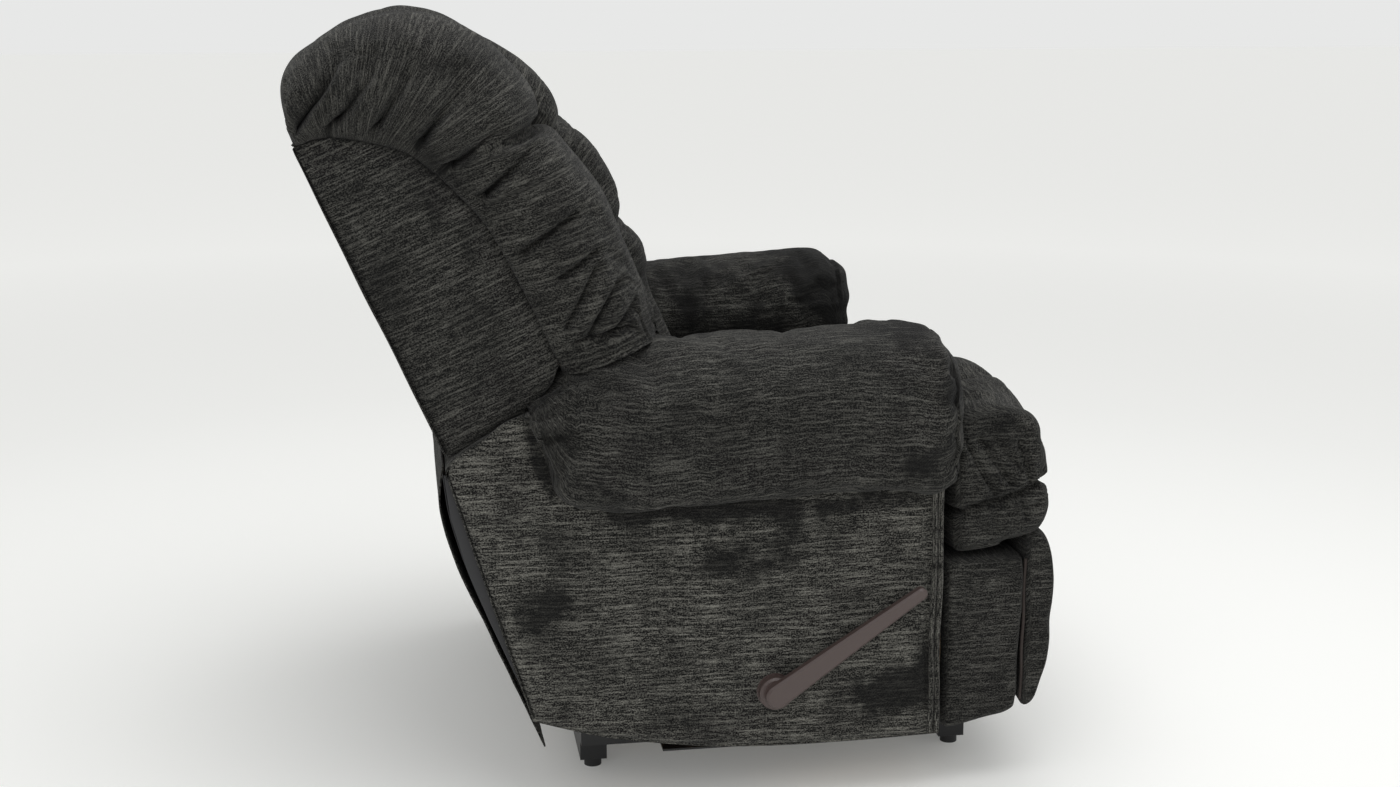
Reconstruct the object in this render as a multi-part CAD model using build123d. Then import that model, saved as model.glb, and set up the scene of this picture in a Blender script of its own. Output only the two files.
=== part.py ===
"""Rocker recliner armchair: an overstuffed chair that rocks on a low base, with a reclining
back, a lever and a footrest on parallel links. Millimetres, +Z up, the sitter faces -Y, the
lever is on the sitter's right at -X, and the origin lies on the floor under the middle."""

from build123d import *
from math import atan2, cos, degrees, hypot, radians, sin, sqrt, tan
import os

# Widths, measured from the middle plane
PANEL_HALF = 440.0  # outer face of the side covers
ARM_OVERHANG = 29.0  # the arm pads stand this far outside the side covers
SEAT_HALF = 268.0  # inner face of the arm frames
SEAT_GAP = 14.0  # seat cushion to arm frame
FRONT_HALF = 420.0  # seat front and footrest, across the front of both arms
BACK_HALF = 427.0  # outer face of the back's side covers
CENTRE_HALF = 190.0  # middle column of back pillows

# Boards, covers and clearances
PLY = 12.0  # plywood panels
BOARD = 18.0  # solid wood boards
COVER = 10.0  # padded covers
FABRIC = 4.0  # thin fabric panels
GLUE = 0.1  # glue line between two boards
SOFT_GAP = 1.0  # between soft pieces
REST_GAP = 0.3  # soft piece to its seat
SOFT_RUNS = 3  # straight runs along each round edge of a soft piece

# Base
FOOT_OUT = 2.0  # glides and bolts outside the arm frames' inner faces
FOOT_FRONT_Y = -430.0
FOOT_REAR_Y = 126.0
GLIDE_R = 13.0
GLIDE_H = 12.0
CROSS_W = 40.0
CROSS_H = 30.0
TUBE_WALL = 2.5
CROSS_END = 12.0  # cross rail past the middle of its glide
END_PLUG = 6.0
CAP_BEVEL = 1.2
RAIL_H = 22.0
RAIL_W = 46.0
STRAP_H = 6.0  # thinned front end of a base rail, under the footrest
STRAP_Y = -335.0
BOLT_R = 4.0
BOLT_HEAD_R = 8.0
BOLT_HEAD_H = 4.5
BOLT_CLEAR = 0.2

# Rocker
ROCK_Y = -40.0
ROCK_ANGLE = 9.5  # flanks of the rocker block
ROCK_NOSE_R = 40.0
ROCK_HALF = 150.0
ROCK_TOP_Z = 150.0
ROCK_W = 28.0
ROCK_GAP = 0.6
ROCK_SPRING_STEP = 46.0  # each spring ahead of or behind the rocker's nose
ROCK_SPRING_R = 15.0
ROCK_WIRE = 5.0
ROCK_TURNS = 4.0
RUNS_PER_TURN = 8
BRACKET_T = 3.0
BRACKET_LEN = 140.0
BRACKET_HALF = 20.0
BRACKET_Z = 132.0
SHELF_Z = 47.0

# Arms, in the side view
ARM_FRONT_Y = -361.0
PANEL_LOW_Z = 79.0
PANEL_BEND_Y = -100.0
PANEL_REAR_LOW = (225.0, 139.0)
PANEL_REAR_HIGH = (334.0, 494.0)
PANEL_REAR_TOP = (327.0, 518.0)
PANEL_SLOPE_TOP = (216.0, 584.0)
FRAME_INSET = 12.0
ARM_TOP_Z = 585.0
INNER_COVER_REAR_Y = 150.0
PAD_TOP_Z = 675.0
PAD_LOW_Z = 450.0
PAD_INNER_DROP = 88.0  # top of the pad to its lower edge on the seat side
PAD_FRONT_Y = -374.0
PAD_REAR_Y = 216.0
PAD_INNER_LIP = 24.0  # pad past the arm frame, towards the seat

# Seat
SEAT_Z = 350.0
SEAT_RAIL_H = 35.0
SEAT_RAIL_W = 27.0
SEAT_FRONT_Y = -524.0
SEAT_REAR_Y = 60.0
SEAT_FRAME_REAR_Y = 150.0
SEAT_TOP_Z = 558.0
SEAT_REAR_TOP_Z = 500.0
SEAT_LIP_Z = 388.0  # lower front edge of the seat cushion
SEAT_EAR_Z = 352.0  # lower rear edge of its ears, in front of the arms
SEAT_EDGE_DROP = 24.0  # crown of the seat, middle to edge
WIRE = 4.0
SEAT_SPRINGS = 5
SEAT_LOOPS = 5
LOOP_HALF = 30.0

# Back, drawn upright with its rear face on y = 0, then leaned
BACK_Y = 344.0
BACK_Z = 549.0
BACK_LEAN = 23.9
BACK_DEPTH = 190.0
BACK_SIDE_Z = 430.0
BACK_SHOULDER_Z = 200.0
BACK_SHOULDER_SAG = 56.0
SHOULDER_TUCK = 29.0  # sag of the same shoulder under the head pillows
BACK_FOOT_FRONT = 22.0
BACK_FOOT_MID = (-131.0, -6.0)
BACK_FOOT_REAR = -24.0
BACK_LOW_Z = -125.0
POST_W = 32.0
POST_D = 50.0
POST_Y = -136.0
RAIL_TALL = 45.0
HEAD_RAIL_DROP = 170.0
PILLOW_BACK = 194.0
WING_FRONT = 341.0
MID_FRONT = 374.0
LOW_FRONT = 381.0
TOP_FRONT = 352.0
WING_HEAD_FRONT = 321.0
WING_SPLIT_Z = 317.0
TOP_SPLIT_Z = 277.0
LOW_SPLIT_Z = 104.0
WING_TOP_Z = 546.0
CENTRE_TOP_Z = 533.0
WING_FOOT_Z = 26.0
TAIL_GAP = 10.0  # tail of a side pillow to the arm pad
BACK_SPRINGS = 3
BACK_LOOPS = 7
RECLINE_Y = 240.0
RECLINE_Z = 350.0
RECLINE_R = 8.0

# Rear flap, hanging behind the arms
FLAP_HALF = 415.0
FLAP_TOP = (353.0, 492.0)
FLAP_BEND = (322.0, 362.0)
FLAP_LOW = (206.0, 93.0)
FLAP_SAG = 9.0
FLAP_T = 3.0
REAR_RAIL_Z = 150.0
REAR_RAIL_TALL = 60.0

# Footrest
FOOTREST_REAR_Y = -373.0
FOOTREST_FACE_Y = -493.0
FOOTREST_TOP_Z = 341.0
FOOTREST_LOW_Z = 82.0
FOOTREST_NOSE_Z = 104.0
FOOTREST_INSET = 26.0  # board inside the padded box
PAD_FRONT_FACE_Y = -536.0
PAD_TIP_Z = 380.0
PAD_TIP_Y = -507.0

# Linkage
LINK_T = 4.0
LAYER_GAP = 1.0
LINK_HALF = 12.0
SLIM_HALF = 9.0
PIN_R = 5.0
PIN_CLEAR = 0.06
COLLAR_R = 9.0
FRONT_PIVOT = (-300.0, 320.0)
PIVOT_STEP = 100.0
SWING_LEN = 250.0
SWING_BACK = 45.0  # links lean this far back when the footrest is closed
FOOT_PIVOT = (-322.0, 290.0)
GUIDE_LEN = 50.0
CARRIER_BEND = (-230.0, 165.0)
TUBE_STEP = 45.0
TUBE_R = 8.0
CRANK_LEN = 70.0

# Lever
LEVER_Y = -118.0
LEVER_Z = 168.0
SHAFT_R = 8.0
SHAFT_CLEAR = 0.06
LEVER_HOLE_R = 14.0
LEVER_LEN = 258.0
LEVER_RISE = 34.5
HUB_R = 24.0
HUB_T = 15.0
HUB_STAND = 2.0
HUB_BEVEL = 3.0
LEVER_T = 13.0
LEVER_ROOT_HALF = 17.0
LEVER_TIP_HALF = 8.5
ROSE_R = 26.0
ROSE_T = 1.5

# Places that follow from the sizes above
foot_half = SEAT_HALF + FOOT_OUT
cross_top = GLIDE_H + CROSS_H
rail_top = cross_top + RAIL_H
rail_in = SEAT_HALF - PLY
plate_in = SEAT_HALF - LINK_T
frame_out = PANEL_HALF - COVER
arm_out = PANEL_HALF + ARM_OVERHANG
seat_top_rail = SEAT_Z + SEAT_RAIL_H
lean_sin, lean_cos = sin(radians(BACK_LEAN)), cos(radians(BACK_LEAN))
swing = (sin(radians(SWING_BACK)), -cos(radians(SWING_BACK)))
rear_pivot = (FRONT_PIVOT[0] + PIVOT_STEP, FRONT_PIVOT[1])
recline = (RECLINE_Y, RECLINE_Z)
lever = (LEVER_Y, LEVER_Z)
shoulder_chord = hypot(BACK_DEPTH, BACK_SIDE_Z - BACK_SHOULDER_Z)
shoulder_r = (shoulder_chord**2 / 4 + BACK_SHOULDER_SAG**2) / (2 * BACK_SHOULDER_SAG)

nodes = {}


def along(start, length, sign=1.0):
    """The point at a length from start, in the direction of the closed swing links."""
    return (start[0] + sign * length * swing[0], start[1] + sign * length * swing[1])


front_end = along(FRONT_PIVOT, SWING_LEN)
rear_end = along(rear_pivot, SWING_LEN)
guide_start = along(front_end, GUIDE_LEN, -1.0)
guide_end = along(FOOT_PIVOT, GUIDE_LEN, -1.0)
tube_point = along(FRONT_PIVOT, TUBE_STEP)
drive_point = along(FRONT_PIVOT, CRANK_LEN)
crank_end = along(lever, CRANK_LEN)


def face_of(*edges):
    """A face in the side view, from edges whose points are (y, z)."""
    return Plane.YZ * make_face(Curve() + list(edges))


def softly(*edges):
    """The corner points of a soft outline: each round edge becomes a few straight runs."""
    points = []
    for edge in edges:
        runs = 1 if edge.geom_type == GeomType.LINE else SOFT_RUNS
        points += [edge @ (i / runs) for i in range(runs)]
    return Polyline(*points, close=True)


def polygon(*points):
    """A face in the side view with straight sides."""
    return Plane.YZ * make_face(Polyline(*points, close=True))


def plate(face, x0, x1):
    """A side-view face given thickness from x0 to x1."""
    return Pos(x0, 0, 0) * extrude(face, amount=x1 - x0, dir=(1, 0, 0))


def block(x0, x1, y0, y1, z0, z1):
    """A board between two corners."""
    return Pos(x0, y0, z0) * Box(x1 - x0, y1 - y0, z1 - z0, align=(Align.MIN,) * 3)


def round_bar(point, radius, x0, x1):
    """A round pin along X at a side-view point."""
    turned = Rot(0, 90, 0) * Cylinder(radius, x1 - x0, align=(Align.CENTER, Align.CENTER, Align.MIN))
    return Pos(x0, *point) * turned


def bar(points, half):
    """The side view of a flat link: round ends and straight runs through the points."""
    shape = Sketch()
    for p, q in zip(points, points[1:]):
        run = Vector(*q) - Vector(*p)
        middle = (Vector(*q) + Vector(*p)) / 2
        angle = degrees(atan2(run.Y, run.X))
        shape += Pos(middle.X, middle.Y) * Rot(0, 0, angle) * Rectangle(run.length, 2 * half)
    for p in points:
        shape += Pos(*p) * Circle(half)
    return Plane.YZ * shape


def layer(number):
    """Inner and outer x of a link layer, counted inwards from the side plate."""
    inner = plate_in - (number + 1) * (LINK_T + LAYER_GAP)
    return inner, inner + LINK_T


def holes(part, points, radius, x0, x1):
    """The part with round holes along X at the points."""
    for point in points:
        part -= round_bar(point, radius, x0 - 1, x1 + 1)
    return part


def right_of(part):
    """The same piece on the sitter's right."""
    return mirror(part, Plane.YZ)


def add_pair(name, part):
    nodes[name + "_left"] = part
    nodes[name + "_right"] = right_of(part)


def group(*parts):
    """Separate solids under one name."""
    return Compound(children=[s for p in parts for s in p.solids()])


def add_both(name, part):
    """The piece and its mirror image, two solids under one name."""
    nodes[name] = group(part, right_of(part))


# Base: two steel cross rails, two rails on top of them, glides, end caps and bolts
def cross_rail(y):
    half = foot_half + CROSS_END
    outer = block(-half, half, y - CROSS_W / 2, y + CROSS_W / 2, GLIDE_H, cross_top)
    w = CROSS_W / 2 - TUBE_WALL
    rail = outer - block(-half, half, y - w, y + w, GLIDE_H + TUBE_WALL, cross_top - TUBE_WALL)
    for x in (-bolt_x, bolt_x):
        rail -= Pos(x, y, cross_top) * Cylinder(BOLT_R + BOLT_CLEAR, 3 * TUBE_WALL)
    return rail


def end_cap(x, y):
    w = CROSS_W / 2 - TUBE_WALL - BOLT_CLEAR
    plug = block(x - END_PLUG, x, y - w, y + w, GLIDE_H + TUBE_WALL + BOLT_CLEAR, cross_top - TUBE_WALL - BOLT_CLEAR)
    lid = block(x, x + 3, y - CROSS_W / 2, y + CROSS_W / 2, GLIDE_H, cross_top)
    return plug + chamfer(lid.edges().group_by(Axis.X)[-1], CAP_BEVEL)


def glide():
    return Cylinder(GLIDE_R, GLIDE_H, align=(Align.CENTER, Align.CENTER, Align.MIN))


def base_rail():
    front = FOOT_FRONT_Y - CROSS_W / 2
    rear = FOOT_REAR_Y + CROSS_W / 2
    side = polygon(
        (front, cross_top),
        (rear, cross_top),
        (rear, rail_top),
        (STRAP_Y, rail_top),
        (STRAP_Y - RAIL_H, cross_top + STRAP_H),
        (front, cross_top + STRAP_H),
    )
    rail = plate(side, rail_in, rail_in + RAIL_W)
    for y in (FOOT_FRONT_Y, FOOT_REAR_Y):
        rail -= Pos(bolt_x, y, cross_top) * Cylinder(BOLT_R + BOLT_CLEAR, 3 * RAIL_H)
    return rail


def base_bolt(x, y, top):
    up = (Align.CENTER, Align.CENTER, Align.MIN)
    low = cross_top - 3 * TUBE_WALL
    shank = Pos(x, y, low) * Cylinder(BOLT_R, top - low, align=up)
    return shank + extrude(Pos(x, y, top) * RegularPolygon(BOLT_HEAD_R, 6), amount=BOLT_HEAD_H)


bolt_x = foot_half
nodes["base_front_rail"] = cross_rail(FOOT_FRONT_Y)
nodes["base_rear_rail"] = cross_rail(FOOT_REAR_Y)
add_both("base_side_rails", base_rail())
feet = [(x, y) for x in (-foot_half, foot_half) for y in (FOOT_FRONT_Y, FOOT_REAR_Y)]
nodes["base_glides"] = group(*[Pos(x, y, 0) * glide() for x, y in feet])
caps = [end_cap(foot_half + CROSS_END, y) for y in (FOOT_FRONT_Y, FOOT_REAR_Y)]
nodes["base_end_caps"] = group(*caps, *[right_of(c) for c in caps])
bolts = [base_bolt(bolt_x, FOOT_FRONT_Y, cross_top + STRAP_H), base_bolt(bolt_x, FOOT_REAR_Y, rail_top)]
nodes["base_bolts"] = group(*bolts, *[right_of(b) for b in bolts])


# Rocker: a wooden block that rolls on the base rail, and its pair of coil springs in brackets
def rocker_block():
    lean = radians(ROCK_ANGLE)
    nose = rail_top + ROCK_GAP
    s, rise = ROCK_NOSE_R * sin(lean), ROCK_NOSE_R * (1 - cos(lean))
    end_z = nose + rise + (ROCK_HALF - s) * tan(lean)
    y = ROCK_Y
    side = face_of(
        ThreePointArc((y - s, nose + rise), (y, nose), (y + s, nose + rise)),
        Polyline(
            (y + s, nose + rise),
            (y + ROCK_HALF, end_z),
            (y + ROCK_HALF, ROCK_TOP_Z),
            (y - ROCK_HALF, ROCK_TOP_Z),
            (y - ROCK_HALF, end_z),
            (y - s, nose + rise),
        ),
    )
    return plate(side, SEAT_HALF + PLY, SEAT_HALF + PLY + ROCK_W)


def spring_bracket(x, z, web_low, web_high):
    """An angle: a shelf that holds the springs and a web on the wood."""
    y0, y1 = ROCK_Y - BRACKET_LEN / 2, ROCK_Y + BRACKET_LEN / 2
    shelf = block(x, spring_x + BRACKET_HALF, y0, y1, z, z + BRACKET_T)
    return shelf + block(x, x + BRACKET_T, y0, y1, web_low, web_high)


def rocker_spring(y):
    low, high = SHELF_Z + BRACKET_T, BRACKET_Z
    tall = high - low - 1.6 * ROCK_WIRE
    runs = int(ROCK_TURNS * RUNS_PER_TURN)
    points = []
    for i in range(runs + 1):
        turn = radians(360.0 * i / RUNS_PER_TURN)
        points.append((ROCK_SPRING_R * cos(turn), ROCK_SPRING_R * sin(turn), tall * i / runs))
    path = Polyline(*points)
    wire = Plane(path @ 0, x_dir=(1, 0, 0), z_dir=path % 0) * Rectangle(ROCK_WIRE, ROCK_WIRE)
    coil = sweep(wire, path=path, transition=Transition.RIGHT)
    return Pos(spring_x, y, low + 0.8 * ROCK_WIRE) * coil


spring_x = max(rail_in + RAIL_W, SEAT_HALF + PLY + ROCK_W) + BRACKET_T + ROCK_SPRING_R + ROCK_WIRE
add_both("rocker_blocks", rocker_block())
add_both("spring_seats_lower", spring_bracket(rail_in + RAIL_W, SHELF_Z, SHELF_Z, rail_top - 2))
upper = spring_bracket(SEAT_HALF + PLY + ROCK_W, BRACKET_Z, BRACKET_Z, ROCK_TOP_Z - 2)
add_both("spring_seats_upper", upper)
springs = group(*[rocker_spring(ROCK_Y + side * ROCK_SPRING_STEP) for side in (-1, 1)])
add_both("rocker_springs", springs)


# Arms: wooden frame, padded covers outside, inside and in front, and a fat pad on top
def side_outline():
    """The side cover's outline: bellied lower edge, raked rear edge, slope under the back."""
    bend = (PANEL_BEND_Y, PANEL_LOW_Z)
    low = TangentArc(bend, PANEL_REAR_LOW, tangent=(1, 0))
    rest = Polyline(
        PANEL_REAR_LOW,
        PANEL_REAR_HIGH,
        PANEL_REAR_TOP,
        PANEL_SLOPE_TOP,
        (ARM_FRONT_Y, ARM_TOP_Z),
        (ARM_FRONT_Y, PANEL_LOW_Z),
        bend,
    )
    return make_face(Curve() + [low, rest])


def arm_frame():
    """Boards of one arm: inner panel, arm board, front and rear posts, bottom rail."""
    inset = make_face(offset(side_outline(), amount=-FRAME_INSET, kind=Kind.INTERSECTION).edges())
    x0, x1 = SEAT_HALF, SEAT_HALF + PLY
    y0 = ARM_FRONT_Y + FRAME_INSET
    inside = plate(Plane.YZ * inset, x1 + GLUE, frame_out)
    panel = plate(Plane.YZ * inset, x0, x1)
    top = inside & block(x1, frame_out, y0, PANEL_SLOPE_TOP[0], ARM_TOP_Z - FRAME_INSET - BOARD, ARM_TOP_Z)
    front = inside & block(x1, frame_out, y0, y0 + BOARD, 0, ARM_TOP_Z - FRAME_INSET - BOARD - GLUE)
    raked = (PANEL_REAR_HIGH[0] - PANEL_REAR_LOW[0], PANEL_REAR_HIGH[1] - PANEL_REAR_LOW[1])
    length = hypot(*raked)
    across = (-raked[1] / length * (FRAME_INSET + BOARD), raked[0] / length * (FRAME_INSET + BOARD))
    low, high = PANEL_REAR_LOW, PANEL_REAR_HIGH
    strip = polygon(
        (low[0] + raked[0] / 6, low[1] + raked[1] / 6),
        (low[0] + raked[0] / 6 + across[0], low[1] + raked[1] / 6 + across[1]),
        (high[0] + across[0], high[1] + across[1]),
        high,
    )
    rear = inside & plate(strip, x1, frame_out)
    deep = PANEL_LOW_Z + FRAME_INSET
    rail = inside & block(frame_out - 2 * BOARD, frame_out, y0 + BOARD + GLUE, PANEL_BEND_Y, 0, deep + BOARD)
    return [panel, top, front, rear, rail]


def outer_cover():
    cover = plate(Plane.YZ * side_outline(), frame_out, PANEL_HALF)
    rim = cover.edges().filter_by(Axis.Z).group_by(Axis.X)[-1]
    return fillet(rim.filter_by(lambda e: e.center().Y < PANEL_BEND_Y), COVER / 2)


def inner_cover():
    """Padded panel on the seat side of an arm, above the seat frame."""
    top, low = ARM_TOP_Z - FRAME_INSET, seat_top_rail + REST_GAP
    panel = block(SEAT_HALF - COVER, SEAT_HALF, ARM_FRONT_Y + FRAME_INSET, INNER_COVER_REAR_Y, low, top)
    return fillet(panel.edges().filter_by(Axis.Z).group_by(Axis.X)[0], COVER / 2)


def front_cover():
    """Padded facing on the front of an arm."""
    low, top = PANEL_LOW_Z + COVER, ARM_TOP_Z - FRAME_INSET
    panel = block(SEAT_HALF, frame_out, ARM_FRONT_Y, ARM_FRONT_Y + FRAME_INSET, low, top)
    return fillet(panel.edges().filter_by(Axis.Z).group_by(Axis.Y)[0], COVER / 3)


def pad_section(y, top, low, squeeze):
    """Cross-section of an arm pad at y: crowned top, bellied outer side, drawn in by squeeze."""
    inner, outer = SEAT_HALF - PAD_INNER_LIP + squeeze, arm_out - squeeze
    tall = top - low
    inner_low = min(PAD_TOP_Z - PAD_INNER_DROP, top - 0.5 * tall)
    shoulder_in = (inner, top - min(70.0, 0.5 * (top - inner_low)))
    wide = outer - inner
    crown_in = (inner + 0.31 * wide, top)
    crown_out = (outer - 0.35 * wide, top)
    shoulder_out = (outer, top - 0.45 * tall)
    foot_out = (outer - 16, low)
    edges = [
        SagittaArc((inner, inner_low), shoulder_in, 0.02 * tall),
        SagittaArc(shoulder_in, crown_in, 0.08 * tall),
        SagittaArc(crown_in, crown_out, 0.02 * tall),
        SagittaArc(crown_out, shoulder_out, 0.12 * tall),
        SagittaArc(shoulder_out, foot_out, 0.08 * tall),
        Line(foot_out, (inner, inner_low)),
    ]
    return Plane.XZ.offset(-y) * make_face(softly(*edges))


def arm_pad():
    """A long pillow that rides over the arm, fullest near the front and pinched at the rear."""
    top, low = PAD_TOP_Z, PAD_LOW_Z
    run = PAD_REAR_Y - PAD_FRONT_Y
    stations = [
        (PAD_FRONT_Y, top - 38, low + 34, 16),
        (PAD_FRONT_Y + 0.03 * run, top - 8, low + 4, 3),
        (PAD_FRONT_Y + 0.12 * run, top, low + 2, 0),
        (PAD_FRONT_Y + 0.70 * run, top - 16, low, 0),
        (PAD_FRONT_Y + 0.86 * run, top - 38, low + 16, 4),
        (PAD_FRONT_Y + 0.95 * run, top - 74, low + 54, 14),
        (PAD_REAR_Y, top - 104, low + 106, 26),
    ]
    body = loft([pad_section(*s) for s in stations], ruled=True)
    cleared = SOFT_GAP
    core = block(
        SEAT_HALF - COVER - cleared,
        PANEL_HALF + cleared,
        ARM_FRONT_Y - cleared,
        PAD_REAR_Y + run,
        0,
        ARM_TOP_Z + REST_GAP,
    )
    return body - core


lever_points = [lever]
frame_left = arm_frame()
frame_right = [right_of(holes(b, lever_points, LEVER_HOLE_R, SEAT_HALF, frame_out)) for b in frame_left]
nodes["arm_frame_left"] = group(*frame_left)
nodes["arm_frame_right"] = group(*frame_right)
nodes["side_cover_left"] = outer_cover()
nodes["side_cover_right"] = right_of(holes(outer_cover(), lever_points, LEVER_HOLE_R, frame_out, PANEL_HALF))
add_pair("inner_arm_cover", inner_cover())
add_pair("arm_front_cover", front_cover())
add_pair("arm_pad", arm_pad())


# Seat: box frame of rails, zigzag springs, a cushion that spreads in front of both arms
def zigzag(length, loops, half):
    """A flat zigzag spring along X from 0, with its loops across Y."""
    step = length / (2 * loops)
    points = [(0, 0)]
    for i in range(loops * 2):
        side = half if i % 2 == 0 else -half
        points += [((i + 0.25) * step, side), ((i + 0.75) * step, side)]
    points.append((length, 0))
    return extrude(trace(Polyline(*points), line_width=WIRE), amount=WIRE)


def seat_frame():
    y0, y1 = ARM_FRONT_Y + FRAME_INSET, SEAT_FRAME_REAR_Y
    z0, z1, w = SEAT_Z, seat_top_rail, SEAT_RAIL_W
    front = block(-SEAT_HALF, SEAT_HALF, y0, y0 + w, z0, z1)
    rear = block(-SEAT_HALF, SEAT_HALF, y1 - w, y1, z0, z1)
    left = block(SEAT_HALF - w, SEAT_HALF, y0 + w, y1 - w, z0, z1)
    return group(front, rear, left, right_of(left))


def seat_springs():
    y0, y1 = ARM_FRONT_Y + FRAME_INSET + SEAT_RAIL_W / 2, SEAT_FRAME_REAR_Y - SEAT_RAIL_W / 2
    pitch = 2 * (SEAT_HALF - SEAT_RAIL_W - LOOP_HALF - WIRE) / (SEAT_SPRINGS - 1)
    made = []
    for i in range(SEAT_SPRINGS):
        x = (i - (SEAT_SPRINGS - 1) / 2) * pitch
        made.append(Pos(x, y0, seat_top_rail) * Rot(0, 0, 90) * zigzag(y1 - y0, SEAT_LOOPS, LOOP_HALF))
    return group(*made)


def seat_front_face(x, drop, pull):
    """Side view of the seat's front roll at x: lowered by drop and pulled back by pull."""
    front, rear = SEAT_FRONT_Y + pull, PAD_FRONT_Y - SOFT_GAP
    top, lip = SEAT_TOP_Z - drop, SEAT_LIP_Z + pull / 2
    rear_low = SEAT_EAR_Z + pull / 2
    edges = [
        Line((rear, rear_low), (front + 14, lip)),
        SagittaArc((front + 14, lip), (front, lip + 36), 4),
        SagittaArc((front, lip + 36), (front + 24, top - 44), 4),
        SagittaArc((front + 24, top - 44), (front + 78, top), 11),
        Line((front + 78, top), (rear, top)),
        Line((rear, top), (rear, rear_low)),
    ]
    return Pos(x, 0, 0) * (Plane.YZ * make_face(softly(*edges)))


def seat_main_face(x, drop):
    """Side view of the seat between the arms at x, lowered by drop."""
    front, rear = PAD_FRONT_Y - SOFT_GAP, SEAT_REAR_Y
    low = seat_top_rail + WIRE + REST_GAP
    edges = [
        Line((front, low), (rear, low)),
        SagittaArc((rear, low), (rear, SEAT_REAR_TOP_Z - drop), -8),
        SagittaArc((rear, SEAT_REAR_TOP_Z - drop), (front, SEAT_TOP_Z - drop), -6),
        Line((front, SEAT_TOP_Z - drop), (front, low)),
    ]
    return Pos(x, 0, 0) * (Plane.YZ * make_face(softly(*edges)))


def seat_cushion():
    """T-shaped cushion, crowned across and drawn in at its ends."""
    drop = SEAT_EDGE_DROP
    half, wide = SEAT_HALF - SEAT_GAP, FRONT_HALF
    roll = [(wide, drop, 10), (wide - 26, drop / 4, 2), (wide / 2, -drop / 8, 0)]
    roll += [(-x, d, p) for x, d, p in reversed(roll)]
    front = loft([seat_front_face(*s) for s in roll], ruled=True)
    main = [(half, drop), (half - 24, drop / 3), (half / 2, -drop / 8)]
    main += [(-x, d) for x, d in reversed(main)]
    return front + loft([seat_main_face(*s) for s in main], ruled=True)


nodes["seat_frame"] = seat_frame()
nodes["seat_springs"] = seat_springs()
nodes["seat_cushion"] = seat_cushion()


def rear_flap():
    """Thin fabric that hangs from the back and closes the rear between the arms."""
    t = FLAP_T
    upper, lower = FLAP_SAG / 2, FLAP_SAG
    edges = [
        SagittaArc(FLAP_TOP, FLAP_BEND, upper),
        SagittaArc(FLAP_BEND, FLAP_LOW, lower),
        Line(FLAP_LOW, (FLAP_LOW[0] + t, FLAP_LOW[1])),
        SagittaArc((FLAP_LOW[0] + t, FLAP_LOW[1]), (FLAP_BEND[0] + t, FLAP_BEND[1]), -lower),
        SagittaArc((FLAP_BEND[0] + t, FLAP_BEND[1]), (FLAP_TOP[0] + t, FLAP_TOP[1]), -upper),
        Line((FLAP_TOP[0] + t, FLAP_TOP[1]), FLAP_TOP),
    ]
    return plate(face_of(*edges), -FLAP_HALF, FLAP_HALF)


def rear_rail():
    """Board between the arms at the rear, trimmed to the flap that is stapled to it."""
    low, bend = (FLAP_LOW[0] - REST_GAP, FLAP_LOW[1]), (FLAP_BEND[0] - REST_GAP, FLAP_BEND[1])
    far = bend[0] + 10 * BOARD
    behind = face_of(SagittaArc(bend, low, FLAP_SAG), Polyline(low, (far, low[1]), (far, bend[1]), bend))
    rail = block(-SEAT_HALF, SEAT_HALF, low[0], low[0] + 3 * BOARD, REAR_RAIL_Z, REAR_RAIL_Z + REAR_RAIL_TALL)
    return rail - plate(behind, -SEAT_HALF, SEAT_HALF)


nodes["rear_rail"] = rear_rail()
nodes["rear_flap"] = rear_flap()


# Back: posts and rails, plywood wings, thin springs, covers and seven pillows
def lean(part):
    """A piece drawn upright, leaned back to its place on the chair."""
    return Pos(0, BACK_Y, BACK_Z) * Rot(-BACK_LEAN, 0, 0) * part


def back_outline():
    """Side view of the back's flat side: straight rear, round shoulder, slope over the arm."""
    shoulder = SagittaArc((-BACK_DEPTH, BACK_SHOULDER_Z), (0, BACK_SIDE_Z), BACK_SHOULDER_SAG)
    rest = Polyline(
        (0, BACK_SIDE_Z),
        (0, BACK_FOOT_REAR),
        BACK_FOOT_MID,
        (-BACK_DEPTH, BACK_FOOT_FRONT),
        (-BACK_DEPTH, BACK_SHOULDER_Z),
    )
    return make_face(Curve() + [shoulder, rest])


def back_frame():
    """Two posts that reach down between the arms, and the rails between the wing boards."""
    y0, y1 = POST_Y, POST_Y + POST_D
    outer = layer(0)[0]
    inner = outer - POST_W
    wing = BACK_HALF - COVER - BOARD
    top = BACK_SIDE_Z - HEAD_RAIL_DROP
    low = BACK_LOW_Z + RAIL_TALL
    post = block(inner, outer, y0, y1, low, top - GLUE)
    foot = block(GLUE - inner, inner - GLUE, y0, y1, low, low + RAIL_TALL)
    head = block(-wing, wing, y0, y1, top, top + RAIL_TALL)
    return group(post, right_of(post), foot, head)


def back_stub():
    """Short rail from a back post out to the wing board, above the arm."""
    x0, x1 = layer(0)[0] + GLUE, BACK_HALF - COVER - BOARD
    return block(x0, x1, POST_Y, POST_Y + POST_D, BACK_FOOT_FRONT, BACK_FOOT_FRONT + RAIL_TALL)


def back_springs():
    wing = BACK_HALF - COVER - BOARD
    y = -PILLOW_BACK + 2 * REST_GAP + WIRE
    rise = (BACK_SHOULDER_Z - BACK_FOOT_FRONT) / BACK_SPRINGS
    made = []
    for i in range(BACK_SPRINGS):
        z = BACK_FOOT_FRONT + (i + 0.6) * rise
        made.append(Pos(-wing, y, z) * Rot(90, 0, 0) * zigzag(2 * wing, BACK_LOOPS, LOOP_HALF * 0.8))
    return group(*made)


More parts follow.
